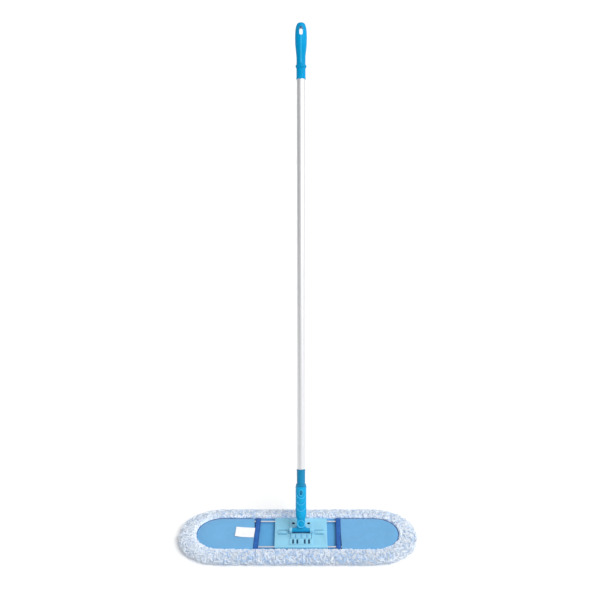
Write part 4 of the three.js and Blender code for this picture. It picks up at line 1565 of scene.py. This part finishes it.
def build_underside():
    """Tufts of yarn all over the underside."""
    random = np.random.default_rng(31)
    x, y, root = underside_roots(random).T
    count = len(x)
    lean = random.uniform(0, 2 * np.pi, count)
    bend = random.uniform(6, 14, count)
    dx, dy = bend * np.cos(lean), bend * np.sin(lean)

    def corner(share, height):
        return in_head(x + dx * share, y + dy * share, height)

    corners = (corner(0, root), corner(0.1, root * 0.6), corner(0.4, 2.2), corner(1.0, 2.0))
    across = np.stack([-np.sin(lean), np.cos(lean), 0 * lean], -1)
    lay = strands(
        bezier(corners, 6), across, random, per_strand=5, width=1.5, flare=1.3, turns=0.8,
        fibre_radius=0.75, lowest=0.8,
    )
    tone = random.uniform(0, 1, count)
    yarn_halves("underside", lay, tone, x, nodes=PILE_NODES, rooted=False)


# ---- studio -------------------------------------------------------------------------------------

FLOOR_HALF_SIZE = 9
FLOOR_GAP = 0.0005  # under the yarn
WORLD_LEFT, WORLD_RIGHT = 0.4, 0.85  # strength of the surround on each side
SUN_FROM = (0.5, -0.36, 0.79)
SUN_STRENGTH = 1.7
SUN_SPREAD = 40  # degrees


def build_floor():
    pale = Surface("studio_floor", linear(255, 255, 255), Roughness=1.0)
    size = FLOOR_HALF_SIZE
    points = [(-size, -size, 0), (size, -size, 0), (size, size, 0), (-size, size, 0)]
    place = Matrix.Translation((0, BAR_AXIS.y, FLOOR - FLOOR_GAP))
    floor = mesh_piece("studio_floor", place, points, [[(0, 1, 2, 3)]], pale.material)


def build_world():
    """A white surround that lights the mop less from its left."""
    world = bpy.data.worlds.new("studio")
    world.use_nodes = True
    nodes, links = world.node_tree.nodes, world.node_tree.links
    direction = nodes.new("ShaderNodeTexCoord").outputs["Generated"]
    axes = nodes.new("ShaderNodeSeparateXYZ")
    links.new(direction, axes.inputs[0])
    light = nodes.new("ShaderNodeMapRange")
    links.new(axes.outputs["X"], light.inputs["Value"])
    settings = {
        "From Min": -0.8, "From Max": 0.5, "To Min": WORLD_LEFT, "To Max": WORLD_RIGHT,
    }
    for socket, value in settings.items():
        light.inputs[socket].default_value = value
    seen = nodes.new("ShaderNodeLightPath").outputs["Is Camera Ray"]
    strength = nodes.new("ShaderNodeMix")
    links.new(seen, strength.inputs[0])
    links.new(light.outputs["Result"], strength.inputs[2])
    strength.inputs[3].default_value = 1.0
    background = nodes["Background"]
    background.inputs["Color"].default_value = (1, 1, 1, 1)
    links.new(strength.outputs[0], background.inputs["Strength"])
    bpy.context.scene.world = world


def build_studio():
    build_world()
    bpy.context.scene.view_settings.view_transform = "Standard"
    data = bpy.data.lights.new("key", "SUN")
    data.energy = SUN_STRENGTH
    data.angle = math.radians(SUN_SPREAD)
    lamp = bpy.data.objects.new("key", data)
    bpy.context.scene.collection.objects.link(lamp)
    lamp.rotation_euler = Vector(SUN_FROM).to_track_quat("Z", "Y").to_euler()


VIEW_DISTANCE = 2.75
VIEW_HEIGHT = 0.628  # of the picture's middle, along the handle from the cross bar
VIEW_OFFSET = 0.0027  # of the picture's middle, left of the handle
LENS = 60.4  # for a sensor 36 wide


def build_camera():
    data = bpy.data.cameras.new("camera")
    data.lens = LENS
    data.sensor_width = 36
    camera = bpy.data.objects.new("camera", data)
    bpy.context.scene.collection.objects.link(camera)
    target = BAR_AXIS + ALONG * VIEW_HEIGHT - RIGHT * VIEW_OFFSET
    turn = Matrix((RIGHT, ALONG, -REARWARD)).transposed().to_4x4()
    camera.matrix_world = Matrix.Translation(target - REARWARD * VIEW_DISTANCE) @ turn
    bpy.context.scene.camera = camera


# ---- the whole mop ------------------------------------------------------------------------------

build_camera()
build_grip()
build_grip_rib()
build_tube()
build_adapter()
build_socket()
build_rounded_parts()
build_plate_lines()
build_pedal_spring("pedal_spring_left")
build_pedal_spring("pedal_spring_right")
build_button_spring("snap_button_spring")
build_wires()
for side in (-1, 1):
    build_backing(side)
    build_pocket(side)
    build_binding(side)
    build_pocket_seam(side)
    build_underlay(side)
    build_mat(side)
build_label()
build_fringe()
build_yarn_edge()
build_tufts("tufts", seed=51, count=1500, length=15, spread=50)
build_tufts("curls", seed=57, count=900, length=10, spread=90)
build_fuzz()
build_underside()
build_floor()
build_studio()
